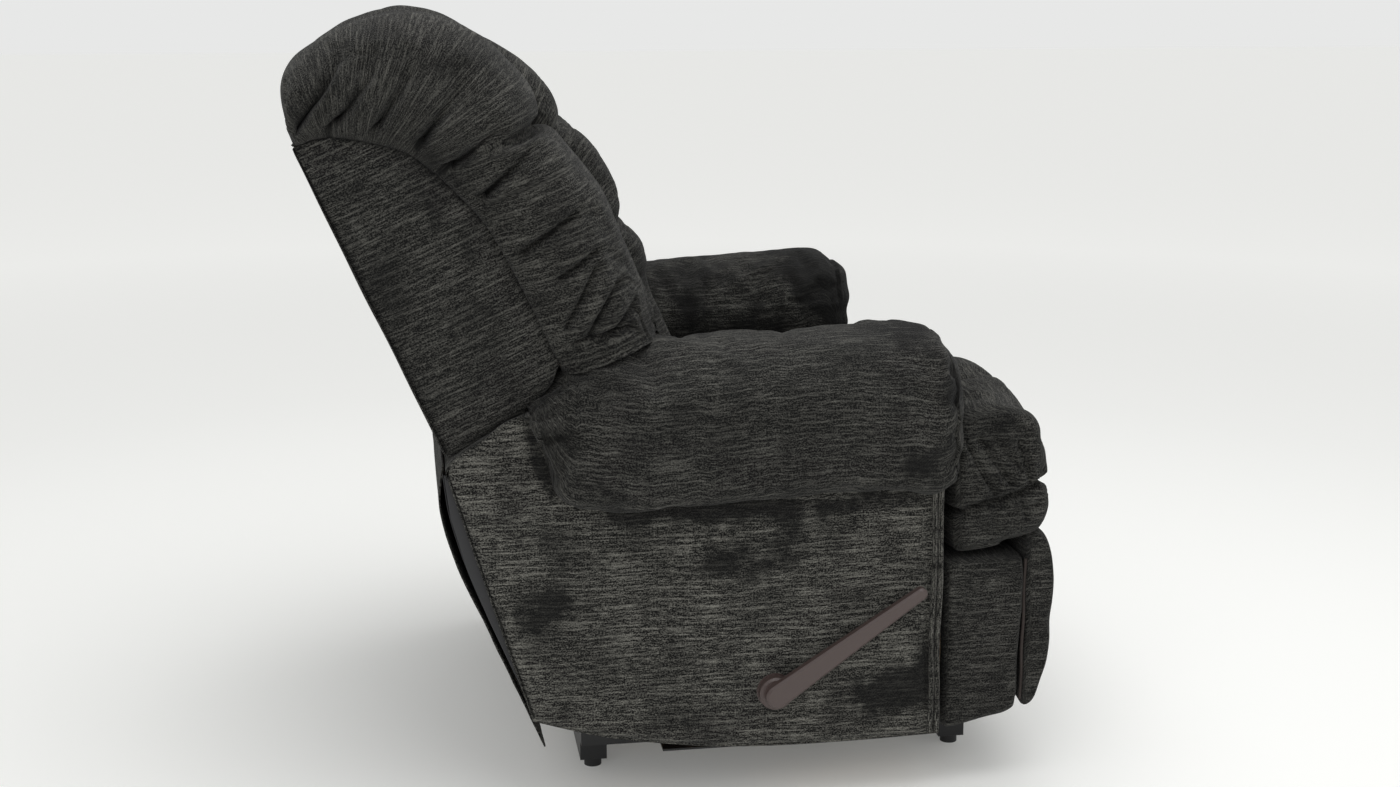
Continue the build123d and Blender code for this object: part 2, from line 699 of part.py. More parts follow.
def shoulder_y(z):
    """Where the round shoulder of the back's side lies at height z."""
    inset = shoulder_r - BACK_SHOULDER_SAG
    mid_y, mid_z = -BACK_DEPTH / 2, (BACK_SIDE_Z + BACK_SHOULDER_Z) / 2
    out_y, out_z = -(BACK_SIDE_Z - BACK_SHOULDER_Z) / shoulder_chord, BACK_DEPTH / shoulder_chord
    centre_y, centre_z = mid_y - inset * out_y, mid_z - inset * out_z
    return centre_y - sqrt(shoulder_r**2 - (z - centre_z) ** 2)


def pillow_face(x, low, high, front, squeeze):
    """Side view of a back pillow at x: flat behind, round in front, drawn in by squeeze."""
    back = -PILLOW_BACK
    nose = -front + 2 * squeeze
    low, high = low + squeeze / 3, high - squeeze / 3
    lip = min(42.0, 0.3 * (high - low))
    tuck = (back if high <= BACK_SHOULDER_Z else shoulder_y(high) - SOFT_GAP, high)
    bend = (back, min(BACK_SHOULDER_Z, high - lip))
    edges = [
        Line((back, low), bend),
        SagittaArc(bend, tuck, hypot(tuck[0] - bend[0], tuck[1] - bend[1]) ** 2 / (8 * shoulder_r) + SOFT_GAP),
        SagittaArc(tuck, (nose + 16, high - lip), -16),
        SagittaArc((nose + 16, high - lip), (nose + 16, low + lip), -16),
        SagittaArc((nose + 16, low + lip), (back, low), -12),
    ]
    return Pos(x, 0, 0) * (Plane.YZ * make_face(softly(*edges)))


def stuffed(x0, x1, low, high, front, squeeze, edge):
    """A pillow between x0 and x1, full in the middle and drawn in at both ends."""
    span = x1 - x0
    stations = [(x0, squeeze), (x0 + edge * span, squeeze / 4), (x1 - edge * span, squeeze / 4), (x1, squeeze)]
    return loft([pillow_face(x, low, high, front, s) for x, s in stations], ruled=True)


def top_face(x, crown, front, split, squeeze):
    """Side view of a head pillow at x: it starts at the rear seam and rolls over the frame."""
    seam = (0, BACK_SIDE_Z + SOFT_GAP)
    crown, nose = crown - squeeze, -front + squeeze
    tuck = (shoulder_y(split + 8) - SOFT_GAP, split + 8)
    edges = [
        SagittaArc(seam, (-140, crown), -36),
        SagittaArc((-140, crown), (-222, crown - 19), -7),
        SagittaArc((-222, crown - 19), (nose, split + 50), -18),
        SagittaArc((nose, split + 50), (nose + 18, split + squeeze / 3), -6),
        Line((nose + 18, split + squeeze / 3), tuck),
        SagittaArc(tuck, seam, SHOULDER_TUCK),
    ]
    return Pos(x, 0, 0) * (Plane.YZ * make_face(softly(*edges)))


def head_pillow(x0, x1, crown, front, split, edge):
    span = x1 - x0
    stations = [(x0, 18), (x0 + edge * span, 4), (x1 - edge * span, 4), (x1, 18)]
    return loft([top_face(x, crown, front, split, s) for x, s in stations], ruled=True)


def wing_pillow():
    """Side pillow over the arm, with a narrow tail down to the seat."""
    inner = CENTRE_HALF + SOFT_GAP
    body = stuffed(inner, BACK_HALF, WING_FOOT_Z, WING_SPLIT_Z - SOFT_GAP, WING_FRONT, 16, 0.2)
    tail_out = SEAT_HALF - PAD_INNER_LIP - TAIL_GAP
    tail = stuffed(inner, tail_out, BACK_LOW_Z, WING_FOOT_Z + 60, WING_FRONT - 6, 8, 0.3)
    return body + tail


def back_bracket():
    """Flat steel arm from the recline pivot up the outside of a back post."""
    x0, x1 = layer(0)
    low = lean(Pos(0, POST_Y + POST_D / 2, BACK_LOW_Z + RAIL_TALL + LINK_HALF)).position
    high = lean(Pos(0, POST_Y + POST_D / 2, BACK_FOOT_FRONT - 3 * LINK_HALF)).position
    arm = bar([recline, (low.Y, low.Z), (high.Y, high.Z)], 1.8 * LINK_HALF)
    return holes(plate(arm, x0, x1), [recline], RECLINE_R + PIN_CLEAR, x0, x1)


wing_in = BACK_HALF - COVER - BOARD
wing_face = Plane.YZ * back_outline()
nodes["back_frame"] = lean(back_frame())
add_both("back_stub_rails", lean(back_stub()))
add_pair("back_wing_board", lean(plate(wing_face, wing_in, BACK_HALF - COVER)))
add_pair("back_side_cover", lean(plate(wing_face, BACK_HALF - COVER, BACK_HALF)))
rear_cover = block(-BACK_HALF, BACK_HALF, 0, FABRIC, BACK_FOOT_REAR, BACK_SIDE_Z)
nodes["back_rear_cover"] = lean(rear_cover)
nodes["back_springs"] = lean(back_springs())
add_pair("back_bracket", back_bracket())
ch, gap = CENTRE_HALF, SOFT_GAP
nodes["head_pillow_centre"] = lean(head_pillow(-ch, ch, CENTRE_TOP_Z, TOP_FRONT, TOP_SPLIT_Z + gap, 0.12))
add_pair("head_pillow", lean(head_pillow(ch + gap, BACK_HALF, WING_TOP_Z, WING_HEAD_FRONT, WING_SPLIT_Z + gap, 0.2)))
nodes["back_pillow_middle"] = lean(stuffed(-ch, ch, LOW_SPLIT_Z + gap, TOP_SPLIT_Z - gap, MID_FRONT, 14, 0.14))
nodes["back_pillow_lower"] = lean(stuffed(-ch, ch, BACK_LOW_Z, LOW_SPLIT_Z - gap, LOW_FRONT, 14, 0.14))
add_pair("wing_pillow", lean(wing_pillow()))


# Footrest: plywood board in a padded box, a crowned pad on its face, two steel brackets
def footrest_face(inset):
    """Side view of the padded box, smaller all round by inset."""
    rear, face = FOOTREST_REAR_Y, FOOTREST_FACE_Y + inset
    low, nose, top = FOOTREST_LOW_Z + inset, FOOTREST_NOSE_Z + inset, FOOTREST_TOP_Z - inset
    bend = (rear + 0.45 * (face - rear), low)
    return face_of(
        Line((rear, low), bend),
        TangentArc(bend, (face, nose), tangent=(-1, 0)),
        Polyline((face, nose), (face, top), (rear, top), (rear, low)),
    )


def footrest_box():
    ends = [(FRONT_HALF, 8.0), (FRONT_HALF - 14, 0.0)]
    ends += [(-x, i) for x, i in reversed(ends)]
    body = loft([Pos(x, 0, 0) * footrest_face(i) for x, i in ends], ruled=True)
    return body - footrest_board(SOFT_GAP / 2)


def footrest_board(margin):
    half = FRONT_HALF - FOOTREST_INSET + margin
    low, top = FOOTREST_LOW_Z + FOOTREST_INSET - margin, FOOTREST_TOP_Z - FOOTREST_INSET + margin
    return block(-half, half, FOOTREST_REAR_Y - BOARD - margin, FOOTREST_REAR_Y, low, top)


def pad_face(x, squeeze):
    """Side view of the footrest pad at x: flat behind, full in front, drawn in by squeeze."""
    back = FOOTREST_FACE_Y - REST_GAP
    low, tip = FOOTREST_NOSE_Z + squeeze / 2, PAD_TIP_Z - squeeze / 2
    nose = PAD_FRONT_FACE_Y + squeeze
    edges = [
        Line((back, low), (back, tip - 8)),
        Line((back, tip - 8), (PAD_TIP_Y, tip)),
        SagittaArc((PAD_TIP_Y, tip), (nose, tip - 62), -11),
        SagittaArc((nose, tip - 62), (nose + 8, low + 90), -3),
        SagittaArc((nose + 8, low + 90), (back - 6, low), -5),
        Line((back - 6, low), (back, low)),
    ]
    return Pos(x, 0, 0) * (Plane.YZ * make_face(softly(*edges)))


def footrest_pad():
    stations = [(FRONT_HALF - 2, 12.0), (FRONT_HALF - 34, 2.0), (0, 0.0)]
    stations += [(-x, s) for x, s in reversed(stations[:-1])]
    return loft([pad_face(*s) for s in stations], ruled=True)


def footrest_bracket():
    """Angle on the board's rear face, with an ear that carries two pivots."""
    x0, x1 = layer(4)
    back = FOOTREST_REAR_Y + LINK_T
    heel = Pos(back + LINK_HALF / 2, FOOT_PIVOT[1] - GUIDE_LEN) * Rectangle(LINK_HALF, LINK_HALF)
    rings = [Pos(*p) * Circle(LINK_HALF) for p in (FOOT_PIVOT, guide_end)]
    outline = make_hull(heel.edges() + rings[0].edges() + rings[1].edges())
    ear = plate(Plane.YZ * outline, x0, x1)
    ear &= block(x0, x1, back - LINK_T, FOOT_PIVOT[0] + SWING_LEN, 0, SEAT_Z)
    low, high = FOOT_PIVOT[1] - GUIDE_LEN - 20, FOOTREST_TOP_Z - FOOTREST_INSET - 4
    flange = block(x0 - 30, x1, FOOTREST_REAR_Y, back, low, high)
    part = holes(ear + flange, [FOOT_PIVOT], PIN_R + PIN_CLEAR, x0, x1)
    return part + round_bar(guide_end, PIN_R, layer(5)[0], x0)


nodes["footrest_box"] = footrest_box()
nodes["footrest_board"] = footrest_board(0)
nodes["footrest_pad"] = footrest_pad()
add_pair("footrest_bracket", footrest_bracket())


# Linkage: side plates, front and rear swing links, carrier and guide links, cross tube
def side_plate(extra_holes):
    """Steel plate on the arm frame, with studs for the swing links and the back."""
    outline = make_face(
        Polyline(
            (FRONT_PIVOT[0] - 38, SEAT_Z),
            (FRONT_PIVOT[0] - 38, FRONT_PIVOT[1] - 32),
            (rear_pivot[0] - 40, FRONT_PIVOT[1] - 70),
            (LEVER_Y - 36, LEVER_Z - 8),
            (LEVER_Y - 20, LEVER_Z - 30),
            (LEVER_Y + 24, LEVER_Z - 30),
            (LEVER_Y + 44, LEVER_Z + 14),
            (RECLINE_Y - 120, RECLINE_Z - 62),
            (RECLINE_Y + 24, RECLINE_Z - 26),
            (RECLINE_Y + 30, RECLINE_Z + 22),
            (RECLINE_Y - 24, RECLINE_Z + 30),
            (SEAT_FRAME_REAR_Y + 6, SEAT_Z),
            close=True,
        )
    )
    plain = plate(Plane.YZ * outline, plate_in, SEAT_HALF)
    part = holes(plain, extra_holes, SHAFT_R + SHAFT_CLEAR, plate_in, SEAT_HALF)
    x0, x1 = layer(2)
    for pivot in (FRONT_PIVOT, rear_pivot):
        part += round_bar(pivot, PIN_R, x0, plate_in)
        part += round_bar(pivot, COLLAR_R, x1 + LAYER_GAP / 2, plate_in)
    return part + round_bar(recline, RECLINE_R, layer(0)[0], plate_in)


def front_link():
    x0, x1 = layer(2)
    part = plate(bar([FRONT_PIVOT, front_end], LINK_HALF), x0, x1)
    part = holes(part, [FRONT_PIVOT], PIN_R + PIN_CLEAR, x0, x1)
    part += round_bar(front_end, PIN_R, layer(3)[0], x0)
    return part + round_bar(guide_start, PIN_R, layer(5)[0], x0)


def rear_link():
    x0, x1 = layer(2)
    part = plate(bar([rear_pivot, rear_end], LINK_HALF), x0, x1)
    part = holes(part, [rear_pivot], PIN_R + PIN_CLEAR, x0, x1)
    return part + round_bar(rear_end, PIN_R, layer(3)[0], x0)


def carrier_link():
    x0, x1 = layer(3)
    part = plate(bar([rear_end, front_end, CARRIER_BEND, FOOT_PIVOT], LINK_HALF), x0, x1)
    part = holes(part, [rear_end, front_end], PIN_R + PIN_CLEAR, x0, x1)
    return part + round_bar(FOOT_PIVOT, PIN_R, layer(4)[0], x0)


def guide_link():
    x0, x1 = layer(5)
    part = plate(bar([guide_start, guide_end], SLIM_HALF), x0, x1)
    return holes(part, [guide_start, guide_end], PIN_R + PIN_CLEAR, x0, x1)


def cross_tube():
    end = layer(2)[0]
    return round_bar(tube_point, TUBE_R, -end, end) - round_bar(tube_point, TUBE_R - 2, -end, end)


def drive_link():
    x0, x1 = layer(1)
    part = plate(bar([crank_end, drive_point], SLIM_HALF), x0, x1)
    return holes(part, [crank_end, drive_point], PIN_R + PIN_CLEAR, x0, x1)


nodes["side_plate_left"] = side_plate([])
nodes["side_plate_right"] = right_of(side_plate(lever_points))
nodes["front_link_left"] = front_link()
driven = front_link() + round_bar(drive_point, PIN_R, layer(2)[1], layer(1)[1])
nodes["front_link_right"] = right_of(driven)
add_both("rear_links", rear_link())
add_both("carrier_links", carrier_link())
add_both("guide_links", guide_link())
nodes["link_cross_tube"] = cross_tube()
nodes["drive_link"] = right_of(drive_link())


# Lever: shaft with its crank inside the arm, a round hub, a tapered arm and a thin rose
def lever_shaft():
    x0, x1 = layer(0)
    crank = plate(bar([lever, crank_end], LINK_HALF), x0, x1)
    shaft = round_bar(lever, SHAFT_R, x1, PANEL_HALF + HUB_STAND)
    return crank + shaft + round_bar(crank_end, PIN_R, layer(1)[0], x0)


def lever_arm():
    """Tapered flat handle with round ends, drawn along +Y and turned up to its rest angle."""
    root, tip = LEVER_ROOT_HALF, LEVER_TIP_HALF
    rings = [Circle(root), Pos(-(LEVER_LEN - tip), 0) * Circle(tip)]
    outline = make_hull(rings[0].edges() + rings[1].edges())
    flat = extrude(Plane.YZ * outline, amount=LEVER_T, dir=(1, 0, 0))
    flat = chamfer(flat.edges().group_by(Axis.X)[-1], LEVER_T / 4)
    return Pos(hub_out, *lever) * Rot(-LEVER_RISE, 0, 0) * flat


hub_in = PANEL_HALF + HUB_STAND
hub_out = hub_in + HUB_T
hub = round_bar(lever, HUB_R, hub_in, hub_out)
rose = round_bar(lever, ROSE_R, PANEL_HALF, PANEL_HALF + ROSE_T)
nodes["lever_shaft"] = right_of(lever_shaft())
nodes["lever_hub"] = right_of(chamfer(hub.edges().group_by(Axis.X)[-1], HUB_BEVEL))
nodes["lever_arm"] = right_of(lever_arm())
nodes["lever_rose"] = right_of(holes(rose, lever_points, SHAFT_R + 1, PANEL_HALF, hub_in))

os.makedirs("parts", exist_ok=True)
for name, part in nodes.items():
    export_step(part, f"parts/{name}.step")
print(len(nodes), "nodes")
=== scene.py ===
import bpy
import numpy as np
from mathutils import Matrix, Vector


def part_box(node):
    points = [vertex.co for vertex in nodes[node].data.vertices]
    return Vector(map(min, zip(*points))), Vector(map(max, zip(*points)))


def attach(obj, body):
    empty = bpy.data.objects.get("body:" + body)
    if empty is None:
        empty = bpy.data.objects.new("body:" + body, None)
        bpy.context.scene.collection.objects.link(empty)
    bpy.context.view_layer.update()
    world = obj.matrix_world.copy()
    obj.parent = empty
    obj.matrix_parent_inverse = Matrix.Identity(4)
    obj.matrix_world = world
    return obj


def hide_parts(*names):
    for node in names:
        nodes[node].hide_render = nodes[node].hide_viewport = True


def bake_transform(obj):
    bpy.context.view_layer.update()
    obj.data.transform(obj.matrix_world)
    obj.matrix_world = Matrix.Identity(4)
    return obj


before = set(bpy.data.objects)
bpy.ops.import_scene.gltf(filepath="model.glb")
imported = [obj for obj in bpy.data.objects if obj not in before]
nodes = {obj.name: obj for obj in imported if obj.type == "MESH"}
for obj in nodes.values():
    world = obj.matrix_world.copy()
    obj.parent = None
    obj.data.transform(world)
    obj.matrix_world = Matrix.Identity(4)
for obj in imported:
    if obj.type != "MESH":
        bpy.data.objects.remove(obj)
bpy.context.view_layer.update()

# Studio: a pale floor that fades into a white room, one broad light overhead, one beside the
# camera and one low in front of the chair. The camera stands at the sitter's right, a little
# behind the chair, at the height and lens that the photograph was taken with.
scene = bpy.context.scene
scene.view_settings.view_transform = "Standard"
eye = bpy.data.cameras.new("eye")
eye.sensor_width = 36.0
eye.lens = 47.422
camera = bpy.data.objects.new("camera", eye)
scene.collection.objects.link(camera)
pitch, yaw = np.radians(12.518), np.radians(9.231)
ahead = np.array([np.cos(yaw) * np.cos(pitch), -np.sin(yaw) * np.cos(pitch), -np.sin(pitch)])
across = np.cross(ahead, (0.0, 0.0, 1.0))
across /= np.linalg.norm(across)
above = np.cross(across, ahead)
turn = np.eye(4)
turn[:3, 0], turn[:3, 1], turn[:3, 2] = across, above, -ahead
camera_stand = (-2.8635, 0.3833, 1.1498)
turn[:3, 3] = camera_stand
camera.matrix_world = Matrix(turn.tolist())
scene.camera = camera

bpy.ops.mesh.primitive_plane_add(size=60.0, location=(0.0, 0.0, 0.0))
floor = bpy.context.object
floor.name = "floor"
paint = bpy.data.materials.new("floor_paint")
paint.use_nodes = True
shade = paint.node_tree.nodes["Principled BSDF"]
shade.inputs["Base Color"].default_value = (0.80, 0.802, 0.79, 1.0)
shade.inputs["Roughness"].default_value = 0.75
# Painted light: the floor glows by its own emission, least near the chair and more further off, lifting it to
# white away from the chair.
shade.inputs["Emission Strength"].default_value = 1.0
spot = paint.node_tree.nodes.new("ShaderNodeTexCoord")
far = paint.node_tree.nodes.new("ShaderNodeVectorMath")
far.operation = "LENGTH"
glow_far = paint.node_tree.nodes.new("ShaderNodeValToRGB")
tints = glow_far.color_ramp.elements
tints[0].position, tints[0].color = 0.035, (0.135, 0.135, 0.130, 1)
tints.new(0.085).color = (0.200, 0.200, 0.192, 1)
tints.new(0.24).color = (0.225, 0.225, 0.217, 1)
tints[-1].position, tints[-1].color = 0.55, (0.385, 0.385, 0.375, 1)
reach = paint.node_tree.nodes.new("ShaderNodeMath")
reach.operation = "MULTIPLY"
reach.inputs[1].default_value = 0.1
paint.node_tree.links.new(spot.outputs["Object"], far.inputs[0])
paint.node_tree.links.new(far.outputs["Value"], reach.inputs[0])
paint.node_tree.links.new(reach.outputs[0], glow_far.inputs["Fac"])
paint.node_tree.links.new(glow_far.outputs["Color"], shade.inputs["Emission Color"])
floor.data.materials.append(paint)

for name, place, aim, size, power in (
    ("overhead", (-0.3, -0.2, 3.2), (0.0, 0.0, 0.4), 3.0, 62.0),
    ("beside_camera", (-3.4, 1.6, 2.3), (0.0, 0.0, 0.5), 2.2, 24.0),
    ("low_front", (-1.8, -3.2, 1.8), (0.0, 0.0, 0.5), 2.2, 7.0),
):
    glow = bpy.data.lights.new(name, "AREA")
    glow.size = size
    glow.energy = power
    lamp = bpy.data.objects.new(name, glow)
    scene.collection.objects.link(lamp)
    lamp.location = place
    away = np.array(place) - np.array(aim)
    lamp.rotation_euler = (
        np.arctan2(np.hypot(away[0], away[1]), away[2]),
        0.0,
        np.arctan2(away[1], away[0]) + np.pi / 2,
    )

room = bpy.data.worlds.new("room")
room.use_nodes = True
scene.world = room
air = room.node_tree.nodes
wall = air["Background"]
wall.inputs["Color"].default_value = (0.90, 0.905, 0.90, 1.0)
seen = air.new("ShaderNodeLightPath")
strength = air.new("ShaderNodeMix")
strength.inputs[2].default_value = 0.56
strength.inputs[3].default_value = 0.89
room.node_tree.links.new(seen.outputs["Is Camera Ray"], strength.inputs[0])
room.node_tree.links.new(strength.outputs[0], wall.inputs["Strength"])


# Base: two black steel cross rails with plastic end caps and glides, and two rails bolted on
# top of them, on which the chair rocks. All black, satin on steel and dull on plastic.
def plain(name, colour, rough, metal=0.0):
    """A material of one colour."""
    made = bpy.data.materials.new(name)
    made.use_nodes = True
    body = made.node_tree.nodes["Principled BSDF"]
    body.inputs["Base Color"].default_value = (*colour, 1.0)
    body.inputs["Roughness"].default_value = rough
    body.inputs["Metallic"].default_value = metal
    return made


def dress(material, *names):
    """Gives CAD nodes their material."""
    for name in names:
        nodes[name].data.materials.clear()
        nodes[name].data.materials.append(material)


black_steel = plain("black_steel", (0.012, 0.012, 0.013), 0.42)
black_plastic = plain("black_plastic", (0.010, 0.010, 0.011), 0.55)
spring_wire = plain("spring_wire", (0.10, 0.10, 0.105), 0.48, 0.9)
dress(black_steel, "base_front_rail", "base_rear_rail", "base_side_rails", "base_bolts")
dress(black_steel, "spring_seats_lower")
dress(black_plastic, "base_glides", "base_end_caps")


# Wooden frame: raw plywood and hardwood boards under the covers, glued and stapled, with the
# zigzag springs of the seat and the back stapled to them. Seen from below and when opened; the
# two short rails that show above the arms are wrapped in black cambric.
def grain():
    """Pale wood with long darker streaks."""
    made = plain("raw_wood", (0.50, 0.36, 0.22), 0.7)
    tree = made.node_tree
    where = tree.nodes.new("ShaderNodeTexCoord")
    stretch = tree.nodes.new("ShaderNodeMapping")
    stretch.inputs["Scale"].default_value = (60.0, 4.0, 60.0)
    streak = tree.nodes.new("ShaderNodeTexNoise")
    streak.inputs["Detail"].default_value = 4.0
    tint = tree.nodes.new("ShaderNodeValToRGB")
    tint.color_ramp.elements[0].position, tint.color_ramp.elements[0].color = 0.35, (0.33, 0.21, 0.11, 1)
    tint.color_ramp.elements[1].position, tint.color_ramp.elements[1].color = 0.65, (0.56, 0.41, 0.25, 1)
    tree.links.new(where.outputs["Object"], stretch.inputs["Vector"])
    tree.links.new(stretch.outputs["Vector"], streak.inputs["Vector"])
    tree.links.new(streak.outputs["Fac"], tint.inputs["Fac"])
    tree.links.new(tint.outputs["Color"], tree.nodes["Principled BSDF"].inputs["Base Color"])
    return made


raw_wood = grain()
dress(raw_wood, "arm_frame_left", "arm_frame_right", "seat_frame", "rear_rail", "rocker_blocks")
dress(raw_wood, "back_frame", "back_wing_board_left", "back_wing_board_right")
dress(plain("cambric", (0.012, 0.012, 0.012), 0.9), "back_stub_rails")
dress(raw_wood, "footrest_board")
dress(spring_wire, "seat_springs", "back_springs")

# Footrest mechanism: black stamped steel links on riveted pins between the side plates and the
# footrest, a cross tube that keeps both sides in step, and the brackets of the back.
dress(black_steel, "side_plate_left", "side_plate_right", "front_link_left", "front_link_right")
dress(black_steel, "rear_links", "carrier_links", "guide_links", "drive_link", "link_cross_tube")
dress(black_steel, "footrest_bracket_left", "footrest_bracket_right", "spring_seats_upper")
dress(black_steel, "back_bracket_left", "back_bracket_right", "lever_shaft")

# Recliner lever: a flat tapered hardwood grip, stained brown and lacquered, screwed to a round
# hub of the same wood that turns on the shaft in front of a moulded plate on the right arm.
lever_wood = plain("lever_wood", (0.062, 0.041, 0.037), 0.45)
body = lever_wood.node_tree.nodes["Principled BSDF"]
body.inputs["Coat Weight"].default_value = 0.25
body.inputs["Coat Roughness"].default_value = 0.35
dress(lever_wood, "lever_hub", "lever_arm", "lever_rose")


# Side panels: charcoal chenille over thin padding, pulled tight over the outside of each arm
# and stapled under it. The slub yarn runs level, and a double welt stands at the front edge.
def weave_group():
    """Slub yarn: long thick streaks along the first coordinate, short tufts, and a fine diagonal
    twill. Gives a mask of the pale yarn and a height, both from 0 to 1."""
    group = bpy.data.node_groups.new("weave", "ShaderNodeTree")
    face = group.interface
    face.new_socket("Along and across", in_out="INPUT", socket_type="NodeSocketVector")
    face.new_socket("Pale yarn", in_out="OUTPUT", socket_type="NodeSocketFloat")
    face.new_socket("Height", in_out="OUTPUT", socket_type="NodeSocketFloat")
    add, link = group.nodes.new, group.links.new
    start, end = add("NodeGroupInput"), add("NodeGroupOutput")

    def noise(scale, detail):
        spread = add("ShaderNodeMapping")
        spread.inputs["Scale"].default_value = scale
        cloud = add("ShaderNodeTexNoise")
        cloud.inputs["Scale"].default_value = 1.0
        cloud.inputs["Detail"].default_value = detail
        cloud.inputs["Roughness"].default_value = 0.5
        link(start.outputs[0], spread.inputs["Vector"])
        link(spread.outputs["Vector"], cloud.inputs["Vector"])
        return cloud.outputs["Fac"]

    def math(kind, first, second, third=None):
        sum_ = add("ShaderNodeMath")
        sum_.operation = kind
        for socket, value in zip(sum_.inputs, (first, second, third)):
            if isinstance(value, (int, float)):
                socket.default_value = value
            elif value is not None:
                link(value, socket)
        return sum_.outputs[0]

    def ramp(value, low, high):
        span = add("ShaderNodeMapRange")
        span.inputs["From Min"].default_value = low
        span.inputs["From Max"].default_value = high
        link(value, span.inputs["Value"])
        return span.outputs["Result"]

    slub = ramp(noise((15.0, 250.0, 1.0), 2.0), 0.47, 0.75)
    thread = ramp(noise((85.0, 480.0, 1.0), 2.0), 0.42, 0.66)
    tuft = ramp(noise((420.0, 470.0, 1.0), 2.0), 0.38, 0.62)
    split = add("ShaderNodeSeparateXYZ")
    link(start.outputs[0], split.inputs[0])
    slant = math("ADD", split.outputs[0], math("MULTIPLY", split.outputs[1], 0.8))
    twill = math("SINE", math("MULTIPLY", slant, 1500.0), 0.0)
    twill = math("MULTIPLY_ADD", twill, 0.5, 0.5)
    pale = math("MULTIPLY_ADD", slub, 0.40, math("MULTIPLY", thread, 0.26))
    pale = math("MULTIPLY_ADD", tuft, 0.34, pale)
    rise = math("MULTIPLY_ADD", tuft, 0.45, math("MULTIPLY", slub, 0.35))
    rise = math("MULTIPLY_ADD", twill, 0.20, rise)
    link(pale, end.inputs["Pale yarn"])
    link(rise, end.inputs["Height"])
    return group


def nap_and_shade_group():
    """Pile brushed the other way, as broad soft patches, plus the painted shade fed in with the pile from the
    mesh attribute: how much darker, from 0 to 1.
    """
    group = bpy.data.node_groups.new("nap_and_shade", "ShaderNodeTree")
    face = group.interface
    face.new_socket("Place", in_out="INPUT", socket_type="NodeSocketVector")
    face.new_socket("Brushed_and_shaded", in_out="INPUT", socket_type="NodeSocketFloat")
    face.new_socket("Dark", in_out="OUTPUT", socket_type="NodeSocketFloat")
    add, link = group.nodes.new, group.links.new
    start, end = add("NodeGroupInput"), add("NodeGroupOutput")
    cloud = add("ShaderNodeTexNoise")
    cloud.inputs["Scale"].default_value = 13.0
    cloud.inputs["Detail"].default_value = 7.0
    cloud.inputs["Roughness"].default_value = 0.6
    span = add("ShaderNodeMapRange")
    span.inputs["From Min"].default_value = 0.44
    span.inputs["From Max"].default_value = 0.70
    span.inputs["To Max"].default_value = 0.70
    ragged = add("ShaderNodeMath")
    ragged.operation = "MULTIPLY_ADD"
    ragged.inputs[1].default_value = 2.6
    ragged.inputs[2].default_value = -1.35
    both = add("ShaderNodeMath")
    both.operation = "ADD"
    edge = add("ShaderNodeMapRange")
    edge.inputs["From Min"].default_value = 0.30
    edge.inputs["From Max"].default_value = 0.75
    most = add("ShaderNodeMath")
    most.operation = "MAXIMUM"
    link(start.outputs["Place"], cloud.inputs["Vector"])
    link(cloud.outputs["Fac"], span.inputs["Value"])
    link(cloud.outputs["Fac"], ragged.inputs[0])
    link(ragged.outputs[0], both.inputs[0])
    link(start.outputs["Brushed_and_shaded"], both.inputs[1])
    link(both.outputs[0], edge.inputs["Value"])
    link(edge.outputs["Result"], most.inputs[0])
    link(span.outputs["Result"], most.inputs[1])
    link(most.outputs[0], end.inputs["Dark"])
    return group


def chenille_cloth(name, pale):
    """Charcoal chenille: pale and dark yarn by the weave group, darkened where the pile lies dark and where
    painted shade is carried in the nap attribute.
    """
    made = plain(name, (0.04, 0.04, 0.04), 0.95)
    tree = made.node_tree
    add, link = tree.nodes.new, tree.links.new
    cloth = tree.nodes["Principled BSDF"]
    cloth.inputs["Sheen Weight"].default_value = 0.06
    cloth.inputs["Sheen Roughness"].default_value = 0.45
    cloth.inputs["Specular IOR Level"].default_value = 0.15
    run = add("ShaderNodeUVMap")
    run.uv_map = "weave"
    place = add("ShaderNodeTexCoord")
    brushed_and_shaded = add("ShaderNodeAttribute")
    brushed_and_shaded.attribute_name = "nap_and_shade"
    weave, nap_and_shade = add("ShaderNodeGroup"), add("ShaderNodeGroup")
    weave.node_tree, nap_and_shade.node_tree = slub_yarn, pile_and_shade
    yarn = add("ShaderNodeValToRGB")
    tones = yarn.color_ramp.elements
    tones[0].position, tones[0].color = 0.17, (0.0042, 0.0042, 0.0041, 1)
    tones[1].position, tones[1].color = 0.74, (*pale, 1)
    # Mixes towards near black where the nap group is high: darker pile, and painted shade in folds, pleats
    # and under the arm pads.
    dull = add("ShaderNodeMix")
    dull.data_type = "RGBA"
    dull.inputs[7].default_value = (0.0055, 0.0055, 0.0055, 1)
    share = add("ShaderNodeMath")
    share.operation = "MULTIPLY"
    share.inputs[1].default_value = 0.85
    bump = add("ShaderNodeBump")
    bump.inputs["Strength"].default_value = 0.7
    bump.inputs["Distance"].default_value = 0.0022
    link(run.outputs["UV"], weave.inputs[0])
    link(place.outputs["Object"], nap_and_shade.inputs["Place"])
    link(brushed_and_shaded.outputs["Fac"], nap_and_shade.inputs["Brushed_and_shaded"])
    link(weave.outputs["Pale yarn"], yarn.inputs["Fac"])
    link(nap_and_shade.outputs["Dark"], share.inputs[0])
    link(share.outputs[0], dull.inputs[0])
    link(yarn.outputs["Color"], dull.inputs[6])
    link(dull.outputs[2], cloth.inputs["Base Color"])
    link(weave.outputs["Height"], bump.inputs["Height"])
    link(bump.outputs["Normal"], cloth.inputs["Normal"])
    return made


slub_yarn, pile_and_shade = weave_group(), nap_and_shade_group()
chenille = chenille_cloth("chenille", (0.205, 0.200, 0.178))
chenille_laid = chenille_cloth("chenille_laid", (0.100, 0.098, 0.088))


